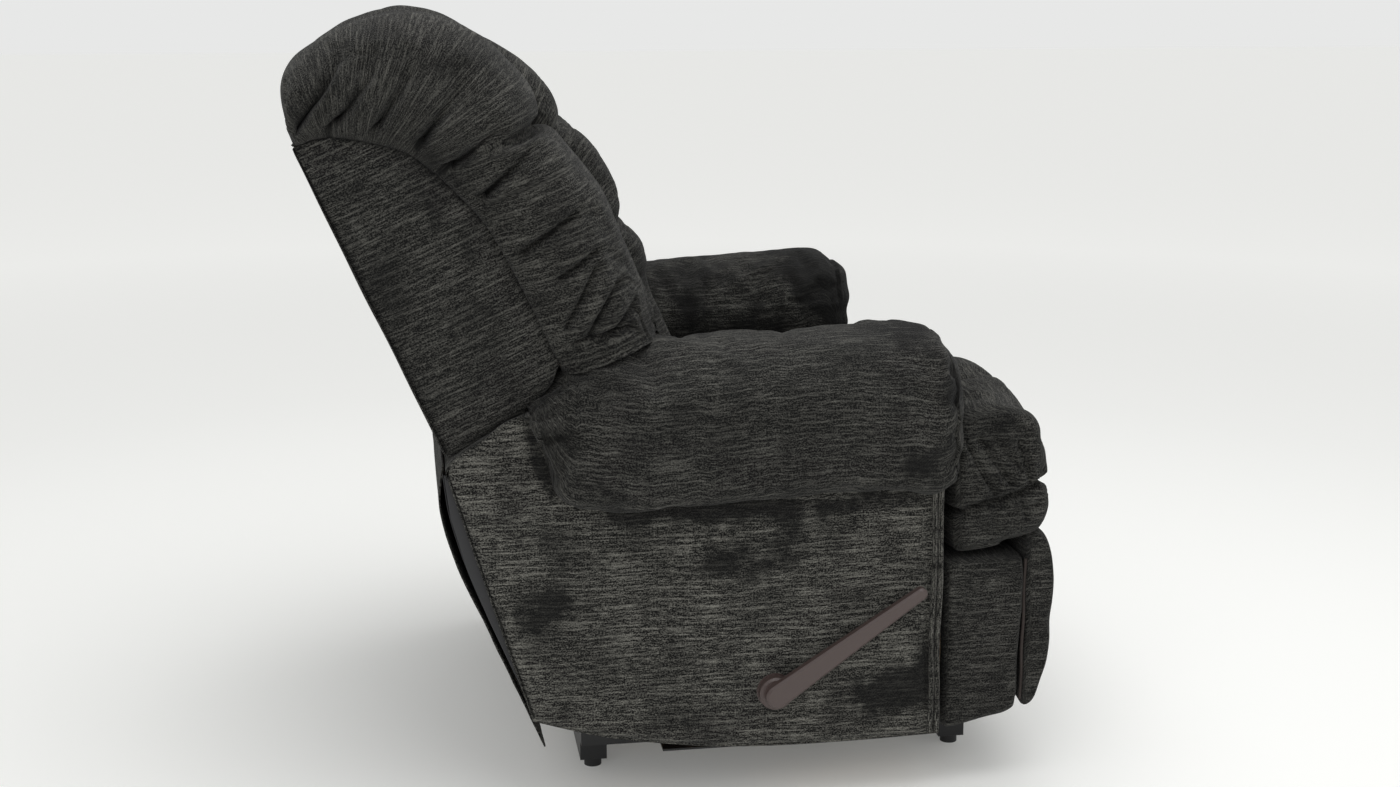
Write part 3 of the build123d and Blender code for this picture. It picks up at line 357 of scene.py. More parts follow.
def curve(points, count):
    """Points evenly spaced along the smooth line through the given points."""
    p = np.asarray(points, float)
    p = np.vstack((2 * p[0] - p[1], p, 2 * p[-1] - p[-2]))
    t = np.linspace(0.0, len(p) - 3.0, 40 * len(p))
    i = np.minimum(t.astype(int), len(p) - 4)
    f = (t - i)[:, None]
    a, b, c, d = p[i], p[i + 1], p[i + 2], p[i + 3]
    line = b + 0.5 * f * (c - a + f * (2 * a - 5 * b + 4 * c - d + f * (3 * (b - c) + d - a)))
    step = np.linalg.norm(np.diff(line, axis=0), axis=1)
    gone = np.concatenate(([0.0], np.cumsum(step)))
    at = np.linspace(0.0, gone[-1], count)
    return np.stack([np.interp(at, gone, line[:, k]) for k in range(p.shape[1])], axis=1)


def crumple(p, size, seed):
    """Smooth uneven ripples, between about -1 and 1, of the given size: six sine waves in
    directions drawn from a fixed seed."""
    draw = np.random.default_rng(seed)
    total = np.zeros(p.shape[:-1])
    for _ in range(6):
        way = draw.normal(size=3)
        way *= 2 * np.pi / size * draw.uniform(0.6, 1.5) / np.linalg.norm(way)
        total += np.sin(p @ way + draw.uniform(0, 6.28))
    return total / 3.0


def outward(grid, closed=False):
    """Unit normals of a grid of points, from its two directions; closed means rows form rings."""
    if closed:
        ring = np.concatenate((grid[:, -2:-1], grid, grid[:, 1:2]), axis=1)
        b = (ring[:, 2:] - ring[:, :-2]) / 2
    else:
        b = np.gradient(grid, axis=1)
    n = np.cross(np.gradient(grid, axis=0), b)
    return n / np.maximum(np.linalg.norm(n, axis=-1, keepdims=True), 1e-9)


def groove(grid, start, end, wide):
    """How near each point is, seen from the side, to a line from start to end: 1 on the line,
    fading to 0 beyond its width."""
    a, b = np.asarray(start, float), np.asarray(end, float)
    q = grid[..., 1:]
    along = np.clip(((q - a) @ (b - a)) / ((b - a) @ (b - a)), 0.0, 1.0)
    off = np.linalg.norm(q - (a + along[..., None] * (b - a)), axis=-1)
    return np.exp(-((off / wide) ** 2))


def length_gone(line):
    """Length of a line of points up to each of its points."""
    return np.concatenate(([0.0], np.cumsum(np.linalg.norm(np.diff(line, axis=0), axis=1))))


def girth_gone(grid):
    """Length of cloth round each ring of a grid up to each of its points."""
    steps = np.linalg.norm(np.diff(grid, axis=1), axis=2)
    return np.concatenate((np.zeros((len(grid), 1)), np.cumsum(steps, axis=1)), axis=1)


def rounded_span(half, soft, turns, count):
    """Places from side to side of a cushion, closer together in its two round ends, and how far
    the cushion is drawn in at each of them."""
    bend = soft * (1 - np.sin(np.linspace(0.0, np.pi / 2, turns)))
    x = np.concatenate((-half + bend[::-1], np.linspace(-half + soft, half - soft, count)[1:-1], half - bend))
    into_end = np.clip(soft - (half - np.abs(x)), 0.0, None)
    return x, soft - np.sqrt(np.maximum(soft**2 - into_end**2, 0.0))


def cloth_mesh(
    name, points, faces, weave, nap_and_shade, body, replaced, material=None, ends=None, end_weave=None
):
    """A closed mesh of quads, and of triangles at the ends, with its faces outwards, its weave
    coordinates and its nap with painted shade, riding on its body, or fixed in place when body is a tuple."""
    p = np.asarray(points, float)
    tri = np.concatenate((faces[:, :3], faces[:, [0, 2, 3]]))
    if np.einsum("ij,ij->i", p[tri[:, 0]], np.cross(p[tri[:, 1]], p[tri[:, 2]])).sum() < 0:
        faces, weave = faces[:, ::-1], weave[:, ::-1]
        if ends is not None:
            ends, end_weave = ends[:, ::-1], end_weave[:, ::-1]
    sides, runs = faces.tolist(), weave.reshape(-1, 2)
    if ends is not None:
        sides, runs = sides + ends.tolist(), np.concatenate((runs, end_weave.reshape(-1, 2)))
    made = bpy.data.meshes.new(name)
    made.from_pydata(p.tolist(), [], sides)
    made.polygons.foreach_set("use_smooth", np.ones(len(sides), bool))
    made.uv_layers.new(name="weave").data.foreach_set("uv", np.ascontiguousarray(runs, np.float32).ravel())
    # The nap attribute: darker pile, and painted shade in folds, pleats and under the arm pads.
    shade = made.attributes.new("nap_and_shade", "FLOAT", "POINT")
    shade.data.foreach_set("value", np.ascontiguousarray(nap_and_shade, np.float32).ravel())
    made.materials.append(material or chenille_laid)
    obj = bpy.data.objects.new(name, made)
    scene.collection.objects.link(obj)
    if isinstance(body, tuple):
        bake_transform(obj)
    else:
        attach(obj, body)
    if replaced:
        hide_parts(*replaced)
    return obj


def quads(rows, columns):
    """Corner numbers of the quads of a grid, as rows and as columns."""
    i, j = np.meshgrid(np.arange(rows - 1), np.arange(columns - 1), indexing="ij")
    i, j = i.ravel()[:, None], j.ravel()[:, None]
    return i + np.array([0, 1, 1, 0]), j + np.array([0, 0, 1, 1])


def slab(name, front, back, weave, nap_and_shade, body, replaced, material=None):
    """Two grids of points, the shown face and the hidden one, joined round their edges."""
    rows, columns = front.shape[:2]
    i, j = quads(rows, columns)
    face = i * columns + j
    far = face[:, ::-1] + rows * columns
    line = np.concatenate(
        (
            np.arange(columns - 1),
            np.arange(rows - 1) * columns + columns - 1,
            np.arange(rows * columns - 1, (rows - 1) * columns, -1),
            np.arange((rows - 1) * columns, 0, -columns),
        )
    )
    nxt = np.roll(line, -1)
    edge = np.stack((line, nxt, nxt + rows * columns, line + rows * columns), axis=1)
    faces = np.concatenate((face, far, edge))
    flat = np.concatenate((weave.reshape(-1, 2), weave.reshape(-1, 2)))
    points = np.concatenate((front.reshape(-1, 3), back.reshape(-1, 3)))
    dark = np.concatenate((nap_and_shade.ravel(), nap_and_shade.ravel()))
    return cloth_mesh(name, points, faces, flat[faces], dark, body, replaced, material)


def roll(name, grid, weave, nap_and_shade, body, replaced, material=None):
    """Rings of points, first and last column of each ring the same, closed at both ends by a
    middle point."""
    rows, columns = grid.shape[:2]
    ring = columns - 1
    i, j = quads(rows, columns)
    k = np.arange(ring)
    after = (k + 1) % ring
    last = (rows - 1) * ring
    hub = rows * ring
    low = np.stack((after, k, np.full(ring, hub)), axis=1)
    high = np.stack((last + k, last + after, np.full(ring, hub + 1)), axis=1)
    low_run = weave[0][np.stack((k + 1, k, k), axis=1)]
    high_run = weave[-1][np.stack((k, k + 1, k), axis=1)]
    middles = grid[[0, -1], :-1].mean(axis=1)
    points = np.concatenate((grid[:, :-1].reshape(-1, 3), middles))
    dark = np.concatenate((nap_and_shade[:, :-1].ravel(), nap_and_shade[[0, -1], 0]))
    return cloth_mesh(
        name,
        points,
        i * ring + j % ring,
        weave[i, j],
        dark,
        body,
        replaced,
        material,
        np.concatenate((low, high)),
        np.concatenate((low_run, high_run)),
    )


def side_panel(side, name):
    """A patch spread between the lower edge and the upper edge of the arm, whose ends are the
    straight front edge and the slanted rear edge; it bellies out a little and turns in all round."""
    low = [(0.225, 0.139), (0.120, 0.108), (0.0, 0.088), (-0.10, 0.080), (-0.23, 0.079), (-0.361, 0.082)]
    top = [(0.333, 0.492), (0.327, 0.520), (0.290, 0.545), (0.216, 0.584), (0.0, 0.584), (-0.361, 0.584)]
    low, top = curve(low, 160), curve(top, 160)
    rise = np.linspace(0.0, 1.0, 120)[None, :, None]
    flat = low[:, None] * (1 - rise) + top[:, None] * rise
    u = np.linspace(0.0, 1.0, 160)[:, None]
    v = rise[0, :, 0][None, :]
    rim = np.minimum(np.minimum(u * 0.62, (1 - u) * 0.62), np.minimum(v * 0.46, (1 - v) * 0.46 + 0.2))
    turn_in = 0.013 * np.clip(1 - rim / 0.016, 0.0, 1.0) ** 2
    belly = 0.006 * np.sin(np.pi * np.clip(u, 0, 1)) * np.sin(np.pi * v)
    grid = np.concatenate((np.full(flat.shape[:2] + (1,), 0.438), flat), axis=2)
    grid[..., 0] += belly - turn_in + 0.0012 * crumple(grid, 0.16, 3) + 0.0005 * crumple(grid, 0.05, 4)
    grid[..., 0] -= 0.004 * groove(grid, (-0.341, 0.08), (-0.341, 0.50), 0.004)
    back = grid.copy()
    back[..., 0] = 0.4303
    weave = flat + 0.0015 * crumple(grid, 0.2, 5)[..., None]
    nap_and_shade = np.zeros(flat.shape[:2])
    if side < 0:
        nap_and_shade += 0.85 * groove(grid, (-0.03, 0.362), (-0.13, 0.372), 0.045)
        nap_and_shade += 1.0 * groove(grid, (-0.262, 0.150), (-0.330, 0.165), 0.055)
        nap_and_shade += 0.45 * groove(grid, (0.20, 0.32), (0.24, 0.30), 0.05)
        nap_and_shade += 0.55 * groove(grid, (0.08, 0.165), (0.05, 0.12), 0.04)
    # Painted shadow: dark bands on the panel just under the arm pad's lower edge and beside the pad's rear
    # end.
    nap_and_shade += 0.85 * groove(grid, (0.10, 0.440), (-0.32, 0.440), 0.022)
    nap_and_shade += 0.8 * groove(grid, (0.236, 0.59), (0.190, 0.462), 0.013)
    for part in (grid, back):
        part[..., 0] *= side
    covers = ["side_cover_" + name]
    return slab("side_panel_" + name, grid, back, weave, nap_and_shade, "chassis", covers, chenille)


def cord(name, path, radius, body, material=None):
    """A round cord along a path, as rings square to the path, closed at both ends."""
    p = np.asarray(path, float)
    ahead_ = np.gradient(p, axis=0)
    ahead_ /= np.linalg.norm(ahead_, axis=1, keepdims=True)
    side_ = np.cross(ahead_, np.where(np.abs(ahead_[:, :1]) > 0.9, [[0.0, 0.0, 1.0]], [[1.0, 0.0, 0.0]]))
    side_ /= np.linalg.norm(side_, axis=1, keepdims=True)
    up_ = np.cross(ahead_, side_)
    turn_ = np.linspace(0.0, 2 * np.pi, 13)[None, :, None]
    rings = p[:, None] + radius * (np.cos(turn_) * side_[:, None] + np.sin(turn_) * up_[:, None])
    gone = length_gone(p)
    weave = np.stack(np.broadcast_arrays(gone[:, None], radius * turn_[..., 0]), axis=-1)
    return roll(name, rings, weave, np.zeros(rings.shape[:2]), body, [], material)


for side, name in ((-1, "right"), (1, "left")):
    side_panel(side, name)
    for number, y in enumerate((-0.3485, -0.3575)):
        z = np.linspace(0.088, 0.472, 90)
        path = np.stack((np.full(90, side * 0.4385), np.full(90, y), z), axis=1)
        path[:, 1] += 0.0012 * np.sin(z * 31 + number)
        cord("arm_welt_%s_%d" % (name, number + 1), path, 0.0042, "chassis", chenille)


# Rocker springs: four steel coils between the shelves on the base and the brackets under the
# arms, fixed in place.
coil_x, coil_foot, coil_tall, coil_radius, coil_wire = 0.331, 0.0543, 0.0740, 0.015, 0.0025
coil_turn = np.linspace(0.0, 8 * np.pi, 240)
gives = ("base", "chassis", (0.0, 0.0, 0.058), (0.0, 0.0, 0.125))
for side, name in ((-1, "right"), (1, "left")):
    for number, y in enumerate((-0.086, 0.006)):
        x = side * coil_x + coil_radius * np.cos(coil_turn)
        z = coil_foot + coil_tall * coil_turn / coil_turn[-1]
        path = np.stack((x, y + coil_radius * np.sin(coil_turn), z), axis=1)
        coil = cord("rocker_coil_%s_%d" % (name, number + 1), path, coil_wire, gives, spring_wire)
        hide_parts("rocker_springs")


# Arm tops and rears: the side panel's cloth carried in over the sloping rear end of each arm,
# below the leaning back, and turned in round its raked rear edge; stapled to the frame.
for side, name in ((-1, "right"), (1, "left")):
    line = curve([(0.3345, 0.498), (0.3325, 0.516), (0.290, 0.5460), (0.216, 0.5855), (0.19, 0.586)], 60)
    x = np.linspace(0.4372, 0.270, 40)[None, :]
    drop = 0.006 * np.clip((x - 0.430) / 0.0075, 0, 1) ** 2
    grid = np.stack((x + 0 * line[:, :1], line[:, :1] + 0 * x, line[:, 1:] + 0.0010 - drop), axis=-1)
    back = grid - np.array((0.0, 0.0, 0.0022))
    for part in (grid, back):
        part[..., 0] *= side
    slab("arm_top_" + name, grid, back, grid[..., [1, 0]], 0.2 + 0 * grid[..., 0], "chassis", [])
    z = np.linspace(0.145, 0.497, 60)[:, None]
    x = np.linspace(0.4360, 0.380, 20)[None, :]
    edge = np.interp(z, (0.139, 0.492), (0.2240, 0.3320)) + 0 * x
    grid = np.stack((side * (x + 0 * z), edge, z + 0 * x), axis=-1)
    back = grid - np.array((0.0, 0.0016, 0.0))
    slab("arm_rear_" + name, grid, back, grid[..., [0, 2]], 0.3 + 0 * edge, "chassis", [])


# Arm fronts and insides: the same chenille, tacked flat over the front of each arm and down the
# inside of it to the seat; mostly hidden by the seat roll and the pad.
for side, name in ((-1, "right"), (1, "left")):
    u, v = np.meshgrid(np.linspace(0, 1, 50), np.linspace(0, 1, 90), indexing="ij")
    low, high = (np.array(c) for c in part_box("arm_front_cover_" + name))
    x = low[0] + u * (high[0] - low[0])
    z = low[2] + v * (high[2] - low[2])
    rim = np.minimum(np.minimum(u, 1 - u) * 0.16, np.minimum(v, 1 - v) * 0.5)
    y = low[1] - 0.001 + 0.008 * np.clip(1 - rim / 0.012, 0, 1) ** 2
    grid = np.stack((x, y, z), axis=-1)
    grid[..., 1] += 0.001 * crumple(grid, 0.12, 11)
    back = grid.copy()
    back[..., 1] = high[1] - 0.0005
    weave = np.stack((x, z), -1)
    slab("arm_front_" + name, grid, back, weave, 0 * u, "chassis", ["arm_front_cover_" + name])
    low, high = (np.array(c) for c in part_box("inner_arm_cover_" + name))
    y = low[1] + u * (high[1] - low[1])
    z = low[2] + v * (high[2] - low[2])
    seat_side, wood_side = (low[0], high[0]) if side > 0 else (high[0], low[0])
    x = np.full(u.shape, seat_side) + 0.002 * side
    grid = np.stack((x, y, z), axis=-1)
    grid[..., 0] += 0.001 * crumple(grid, 0.12, 12)
    back = grid.copy()
    back[..., 0] = wood_side - 0.0005 * side
    weave = np.stack((y, z), -1)
    slab("arm_inside_" + name, grid, back, weave, 0 * u, "chassis", ["inner_arm_cover_" + name])


# Arm pads: a fat roll of fibre in chenille that sits over each arm, hangs past the side panel
# and is drawn together at its rear into a folded corner; its front is a round closed end.
def swell(name, grid, held, pressure, slack, cap):
    """The filling's push: every second ring and column becomes cloth with a little slack, held
    where held is 1 and blown up without weight; no point moves further than cap."""
    rows = np.unique(np.r_[np.arange(0, len(grid), 2), len(grid) - 1])
    columns = np.arange(0, grid.shape[1] - 1, 2)
    coarse = grid[rows][:, columns]
    r, c = coarse.shape[:2]
    i, j = quads(r, c + 1)
    faces = i * c + j % c
    flat = coarse.reshape(-1, 3) - coarse.reshape(-1, 3).mean(axis=0)
    tri = np.concatenate((faces[:, :3], faces[:, [0, 2, 3]]))
    low_end, high_end = list(range(c))[::-1], list(range((r - 1) * c, r * c))
    if np.einsum("ij,ij->i", flat[tri[:, 0]], np.cross(flat[tri[:, 1]], flat[tri[:, 2]])).sum() < 0:
        faces, low_end, high_end = faces[:, ::-1], low_end[::-1], high_end[::-1]
    cover = bpy.data.meshes.new(name + "_cover")
    cover.from_pydata(coarse.reshape(-1, 3).tolist(), [], faces.tolist() + [low_end, high_end])
    obj = bpy.data.objects.new(name + "_cover", cover)
    scene.collection.objects.link(obj)
    sewn = obj.vertex_groups.new(name="sewn")
    sewn.add(np.flatnonzero(held[rows][:, columns].ravel() > 0.5).tolist(), 1.0, "REPLACE")
    cloth = obj.modifiers.new("cover", "CLOTH")
    cloth.settings.vertex_group_mass = "sewn"
    cloth.settings.use_pressure = True
    cloth.settings.uniform_pressure_force = pressure
    cloth.settings.shrink_min = -slack
    cloth.settings.bending_stiffness = 0.6
    cloth.settings.effector_weights.gravity = 0.0
    for step in range(1, 19):
        scene.frame_set(step)
    blown = obj.evaluated_get(bpy.context.evaluated_depsgraph_get()).data
    place = np.empty(r * c * 3, np.float32)
    blown.vertices.foreach_get("co", place)
    move = place.reshape(r, c, 3).astype(float) - coarse
    far = np.linalg.norm(move, axis=-1, keepdims=True)
    move *= np.minimum(1.0, cap / np.maximum(far, 1e-9))
    bpy.data.objects.remove(obj)
    scene.frame_set(1)
    a = np.interp(np.arange(len(grid)), rows, np.arange(r))
    b = np.arange(grid.shape[1]) / 2.0
    a0, b0 = np.minimum(a.astype(int), r - 2), b.astype(int)
    fa, fb = (a - a0)[:, None, None], (b - b0)[None, :, None]
    at = lambda p, q: move[p][:, q % c]
    this_ring = at(a0, b0) * (1 - fb) + at(a0, b0 + 1) * fb
    next_ring = at(a0 + 1, b0) * (1 - fb) + at(a0 + 1, b0 + 1) * fb
    full = this_ring * (1 - fa) + next_ring * fa
    full[:, -1] = full[:, 0]
    return grid + full


def arm_pad(side, name):
    """Rings across the arm, each through a few points set by the roll's crest and lower edge at
    that place; the rings shrink into a round front and a pinched rear."""
    crest = curve(
        [
            (0.2290, 0.592), (0.214, 0.607), (0.196, 0.623), (0.172, 0.640), (0.139, 0.653),
            (0.101, 0.660), (0.049, 0.662), (-0.003, 0.664), (-0.160, 0.669), (-0.283, 0.672),
            (-0.340, 0.672), (-0.374, 0.660),
        ],
        200,
    )
    lower = curve(
        [
            (0.2290, 0.592), (0.2220, 0.570), (0.2080, 0.530), (0.1900, 0.482), (0.1680, 0.458),
            (0.1280, 0.444), (0.066, 0.438), (-0.036, 0.438), (-0.139, 0.441), (-0.244, 0.446),
            (-0.344, 0.447), (-0.374, 0.462),
        ],
        200,
    )
    round_front = np.sin(np.linspace(0.0, np.pi / 2, 28))
    round_rear = 1 - np.cos(np.linspace(0.02, np.pi / 2, 30))
    straight = np.linspace(0.158, -0.334, 120)
    y = np.concatenate((0.2265 - 0.066 * round_rear, straight, -0.336 - 0.042 * round_front))
    top = np.interp(-y, -crest[:, 0], crest[:, 1])
    low = np.interp(-y, -lower[:, 0], lower[:, 1])
    shrink = np.concatenate((np.zeros(150), 1 - np.sqrt(1 - round_front**2 * 0.985)))
    pinch = np.concatenate((np.linspace(1.0, 0.0, 30) ** 2, np.zeros(len(y) - 30)))
    tall = top - low
    rings = []
    inner, outer = 0.242, 0.474
    for share, drop in (
        (0.860, 0.0), (0.965, 0.045), (0.995, 0.20), (1.0, 0.46), (0.985, 0.62), (0.93, 0.78),
        (0.83, 0.90), (0.70, 0.955), (0.55, 0.985), (0.40, 1.0), (0.26, 0.995), (0.12, 0.94),
        (0.03, 0.82), (0.0, 0.62), (0.03, 0.50), (0.07, 0.450), (0.20, 0.60), (0.50, 0.62),
        (0.80, 0.62), (0.826, 0.30), (0.830, 0.06),
    ):
        x = inner + share * (outer - inner)
        x = x + pinch * (0.456 - x) * (0.10 if x > 0.456 else 0.55)
        rings.append(np.stack((np.full(len(y), 1.0) * x, y, low + drop * tall), axis=-1))
    knots = np.stack(rings + rings[:1], axis=1)
    grid = np.stack([curve(k, 181) for k in knots])
    grid[:, -1] = grid[:, 0]
    grid[-28:, :, 1] -= 0.012 * round_front[:, None] * np.clip((0.36 - grid[-28:, :, 0]) / 0.1, 0, 1)
    middle = grid[:, :-1].mean(axis=1, keepdims=True)
    middle[..., 0] = 0.365
    middle[..., 2] = 0.585
    grid[..., 0] += shrink[:, None] * 0.20 * (middle - grid)[..., 0]
    grid[..., 2] += shrink[:, None] * 0.22 * (middle - grid)[..., 2]
    shares = np.linspace(0.0, 0.97, 26)[1:, None]
    nose = grid[-1, :, 1].min() - 0.006
    cap = grid[-1] + shares[..., None] * (np.array((0.360, nose, 0.600)) - grid[-1])
    cap[..., 1] = grid[-1, :, 1] + np.sin(shares * np.pi / 2) * (nose - grid[-1, :, 1])
    grid = np.concatenate((grid, cap))
    facing = outward(grid, True)
    if (facing[75, 40, 0]) < 0:
        facing = -facing
    outer_face = np.clip((grid[..., 0] - 0.40) / 0.05, 0.0, 1.0)
    ripple = 0.0018 * crumple(grid, 0.13, 21) + 0.0008 * crumple(grid, 0.045, 22)
    fold = 0.008 * groove(grid, (0.228, 0.594), (0.172, 0.628), 0.0045)
    fold += 0.005 * groove(grid, (0.222, 0.586), (0.160, 0.600), 0.006)
    fold += 0.004 * groove(grid, (0.205, 0.552), (0.160, 0.560), 0.006)
    fold = fold * outer_face
    front = np.clip((-grid[..., 1] - 0.30) / 0.06, 0.0, 1.0)
    ripple += front * 0.0020 * np.sin(grid[..., 2] * 150 + 8 * grid[..., 1] + 2 * np.sin(grid[..., 0] * 30))
    grid += facing * (ripple - fold)[..., None]
    held = (outer_face < 0.2) & (grid[..., 2] < 0.60) | (fold > 0.0035)
    held = held | (grid[..., 1] > 0.212) | (grid[..., 1] < -0.372)
    free = np.clip((grid[..., 2] - 0.47) / 0.03, 0, 1) * (1 - held)
    start = grid - facing * (0.006 * free)[..., None]
    grid = swell("arm_roll", start, held, pressure=3.0, slack=0.03, cap=0.011)
    grid -= facing * (0.7 * fold)[..., None]
    grid[..., 2] = np.maximum(grid[..., 2], 0.4340)
    around = girth_gone(grid)
    weave = np.stack((grid[..., 1], around), axis=-1) + (3.0, 1.0)
    weave[len(y) :] = grid[len(y) :][..., [0, 2]]
    # Painted shade along the folds of the rear corner; darker patches near the front and low on the roll; the
    # left pad is made darker all over.
    nap_and_shade = 0.8 * groove(grid, (-0.325, 0.655), (-0.36, 0.60), 0.045)
    nap_and_shade += 0.55 * groove(grid, (-0.30, 0.50), (-0.36, 0.52), 0.03)
    nap_and_shade += 0.45 * groove(grid, (0.05, 0.47), (0.12, 0.49), 0.03) + np.clip(fold / 0.006, 0, 1) * 0.7
    if side > 0:
        nap_and_shade += 0.55
        upper = np.clip((grid[..., 2] - 0.56) / 0.08, 0, 1)
        grid[..., 2] += 0.012 * upper * np.clip((0.08 - grid[..., 1]) / 0.38, 0, 1)
    grid[..., 0] *= side
    return roll("arm_roll_" + name, grid, weave, nap_and_shade, "chassis", ["arm_pad_" + name])


for side, name in ((-1, "right"), (1, "left")):
    arm_pad(side, name)


# Seat: a boxed cushion between the arms and, sewn to it, a thick front roll that spreads in
# front of both arms; a folded seam parts the roll's upper swell from its lower lip.
def bolster(name, profile, half, round_end, body, replaced, shape, crown=0.0):
    """A closed side view carried across the chair, drawn in towards its middle at both round ends;
    shape changes the grid's points before the weave is laid on it."""
    ring = curve(list(profile) + [profile[0]], 221)
    ring[-1] = ring[0]
    x, drawn = rounded_span(half, round_end, 16, 130)
    middle = (ring.max(axis=0) + ring.min(axis=0)) / 2
    reach = np.linalg.norm(ring - middle, axis=1)
    rows = middle + (ring - middle)[None] * (1 - drawn[:, None, None] / reach[None, :, None] * 0.98)
    grid = np.concatenate((np.broadcast_to(x[:, None, None], rows.shape[:2] + (1,)), rows), axis=2)
    grid = np.array(grid)
    upper = np.clip((grid[..., 2] - middle[1]) / (ring[:, 1].max() - middle[1]), 0, 1)
    grid[..., 2] += crown * (1 - (x[:, None] / half) ** 2) * upper
    ends = []
    for row in (0, -1):
        close = grid[row].mean(axis=0)
        shares = np.linspace(0.0, 0.96, 26)[:, None, None]
        cap = grid[row][None] * (1 - shares) + close * shares
        ends.append(cap[::-1] if row == 0 else cap)
    grid = np.concatenate((ends[0][:-1], grid, ends[1][1:]))
    facing = outward(grid, True)
    if np.einsum("ijk,ijk->ij", facing, grid - grid.reshape(-1, 3).mean(axis=0)).sum() < 0:
        facing = -facing
    grid = shape(grid, facing)
    end_face = np.abs(facing[..., 0]) > 0.75
    around = girth_gone(grid)
    wound = np.stack((grid[..., 0], around), axis=-1) + (2.0, 5.0)
    weave = np.where(end_face[..., None], grid[..., 1:], wound)
    nap_and_shade = 0.35 * (crumple(grid, 0.3, 7) > 0.4)
    return roll(name, grid, weave, nap_and_shade, body, replaced)


def seat_roll_shape(grid, facing):
    """Folded seam along the front and both ends, gathers that run up from it, soft dents."""
    end_side = np.clip((np.abs(grid[..., 0]) - 0.34) / 0.06, 0.0, 1.0)
    sink = 0.013 * groove(grid, (-0.372, 0.407), (-0.471, 0.433), 0.006)
    sink = np.maximum(sink, 0.013 * groove(grid, (-0.471, 0.433), (-0.540, 0.456), 0.006))
    for start, end, deep in (
        ((-0.418, 0.519), (-0.467, 0.452), 0.009), ((-0.478, 0.512), (-0.497, 0.451), 0.009),
        ((-0.394, 0.520), (-0.443, 0.437), 0.006), ((-0.440, 0.520), (-0.482, 0.470), 0.004),
        ((-0.464, 0.408), (-0.508, 0.420), 0.004), ((-0.480, 0.430), (-0.488, 0.402), 0.005),
    ):
        sink = np.maximum(sink, deep * groove(grid, start, end, 0.005) * end_side)
    above_seam = np.clip((grid[..., 2] - 0.43) / 0.02, 0, 1) * np.clip((0.53 - grid[..., 2]) / 0.08, 0, 1)
    front = np.clip((-grid[..., 1] - 0.46) / 0.04, 0, 1)
    sink += 0.0028 * above_seam * front * (1 + np.sin(grid[..., 0] * 190 + 2 * np.sin(grid[..., 0] * 37)))
    sink -= 0.0025 * crumple(grid, 0.15, 31) + 0.0010 * crumple(grid, 0.05, 32)
    held = (sink > 0.008) | (grid[..., 1] > -0.386) | (grid[..., 2] < 0.358)
    start = grid - facing * (sink + 0.004 * (1 - held))[..., None]
    grid = swell("seat_roll", start, held, pressure=3.0, slack=0.03, cap=0.012)
    grid = grid - facing * (0.5 * np.clip(sink, 0.0, 0.012) * end_side)[..., None]
    plump = 0.016 * np.exp(-(((grid[..., 0] + 0.22) / 0.15) ** 2))
    grid[..., 2] += plump * np.clip((grid[..., 2] - 0.50) / 0.05, 0, 1)
    towards_end = np.clip((np.abs(grid[..., 0]) - 0.18) / 0.24, 0, 1)
    droop = np.where(grid[..., 0] > 0, 0.030, 0.002) * towards_end**1.5
    grid[..., 2] -= droop * np.clip((grid[..., 2] - 0.44) / 0.10, 0, 1)
    return grid


bolster(
    "seat_roll",
    [
        (-0.384, 0.358), (-0.379, 0.44), (-0.379, 0.52), (-0.388, 0.548), (-0.430, 0.562),
        (-0.470, 0.565), (-0.502, 0.547), (-0.518, 0.508), (-0.528, 0.465), (-0.530, 0.438),
        (-0.529, 0.410), (-0.523, 0.388), (-0.502, 0.369), (-0.440, 0.354), (-0.396, 0.349),
    ],
    half=0.424,
    round_end=0.026,
    body="chassis",
    replaced=["seat_cushion"],
    shape=seat_roll_shape,
    crown=0.005,
)


def seat_box_shape(grid, facing):
    """Shallow hollow where one sits, and soft dents."""
    hollow = 0.010 * np.exp(-((grid[..., 0] / 0.16) ** 2) - ((grid[..., 1] + 0.12) / 0.15) ** 2)
    hollow = hollow * np.clip(facing[..., 2], 0, 1)
    return grid - facing * (hollow - 0.002 * crumple(grid, 0.17, 33))[..., None]


bolster(
    "seat_box",
    [
        (0.052, 0.405), (0.058, 0.450), (0.050, 0.488), (0.020, 0.509), (-0.060, 0.536),
        (-0.160, 0.551), (-0.280, 0.556), (-0.400, 0.554), (-0.440, 0.530), (-0.445, 0.470),
        (-0.430, 0.410), (-0.380, 0.394), (-0.200, 0.392), (-0.020, 0.393),
    ],
    half=0.253,
    round_end=0.028,
    body="chassis",
    replaced=[],
    shape=seat_box_shape,
    crown=0.004,
)

# Footrest: a boxed core upholstered in chenille on its board, and a separate soft pad on its
# front; a brownish sewing tape shows in the groove between the two.
def footrest_core_shape(grid, facing):
    """Faint dents of a tightly covered box."""
    return grid + facing * (0.0013 * crumple(grid, 0.14, 41) + 0.0004 * crumple(grid, 0.05, 42))[..., None]


bolster(
    "footrest_core",
    [
        (-0.3745, 0.092), (-0.3740, 0.20), (-0.3740, 0.32), (-0.382, 0.338), (-0.430, 0.340),
        (-0.480, 0.340), (-0.4905, 0.332), (-0.4920, 0.280), (-0.4900, 0.200), (-0.4880, 0.122),
        (-0.476, 0.102), (-0.430, 0.092), (-0.384, 0.084),
    ],
    half=0.4205,
    round_end=0.014,
    body="footrest",
    replaced=["footrest_box"],
    shape=footrest_core_shape,
)


def footrest_pad_shape(grid, facing):
    """Soft dents, deeper towards the rim."""
    return grid + facing * (0.0022 * crumple(grid, 0.12, 43) + 0.0008 * crumple(grid, 0.045, 44))[..., None]


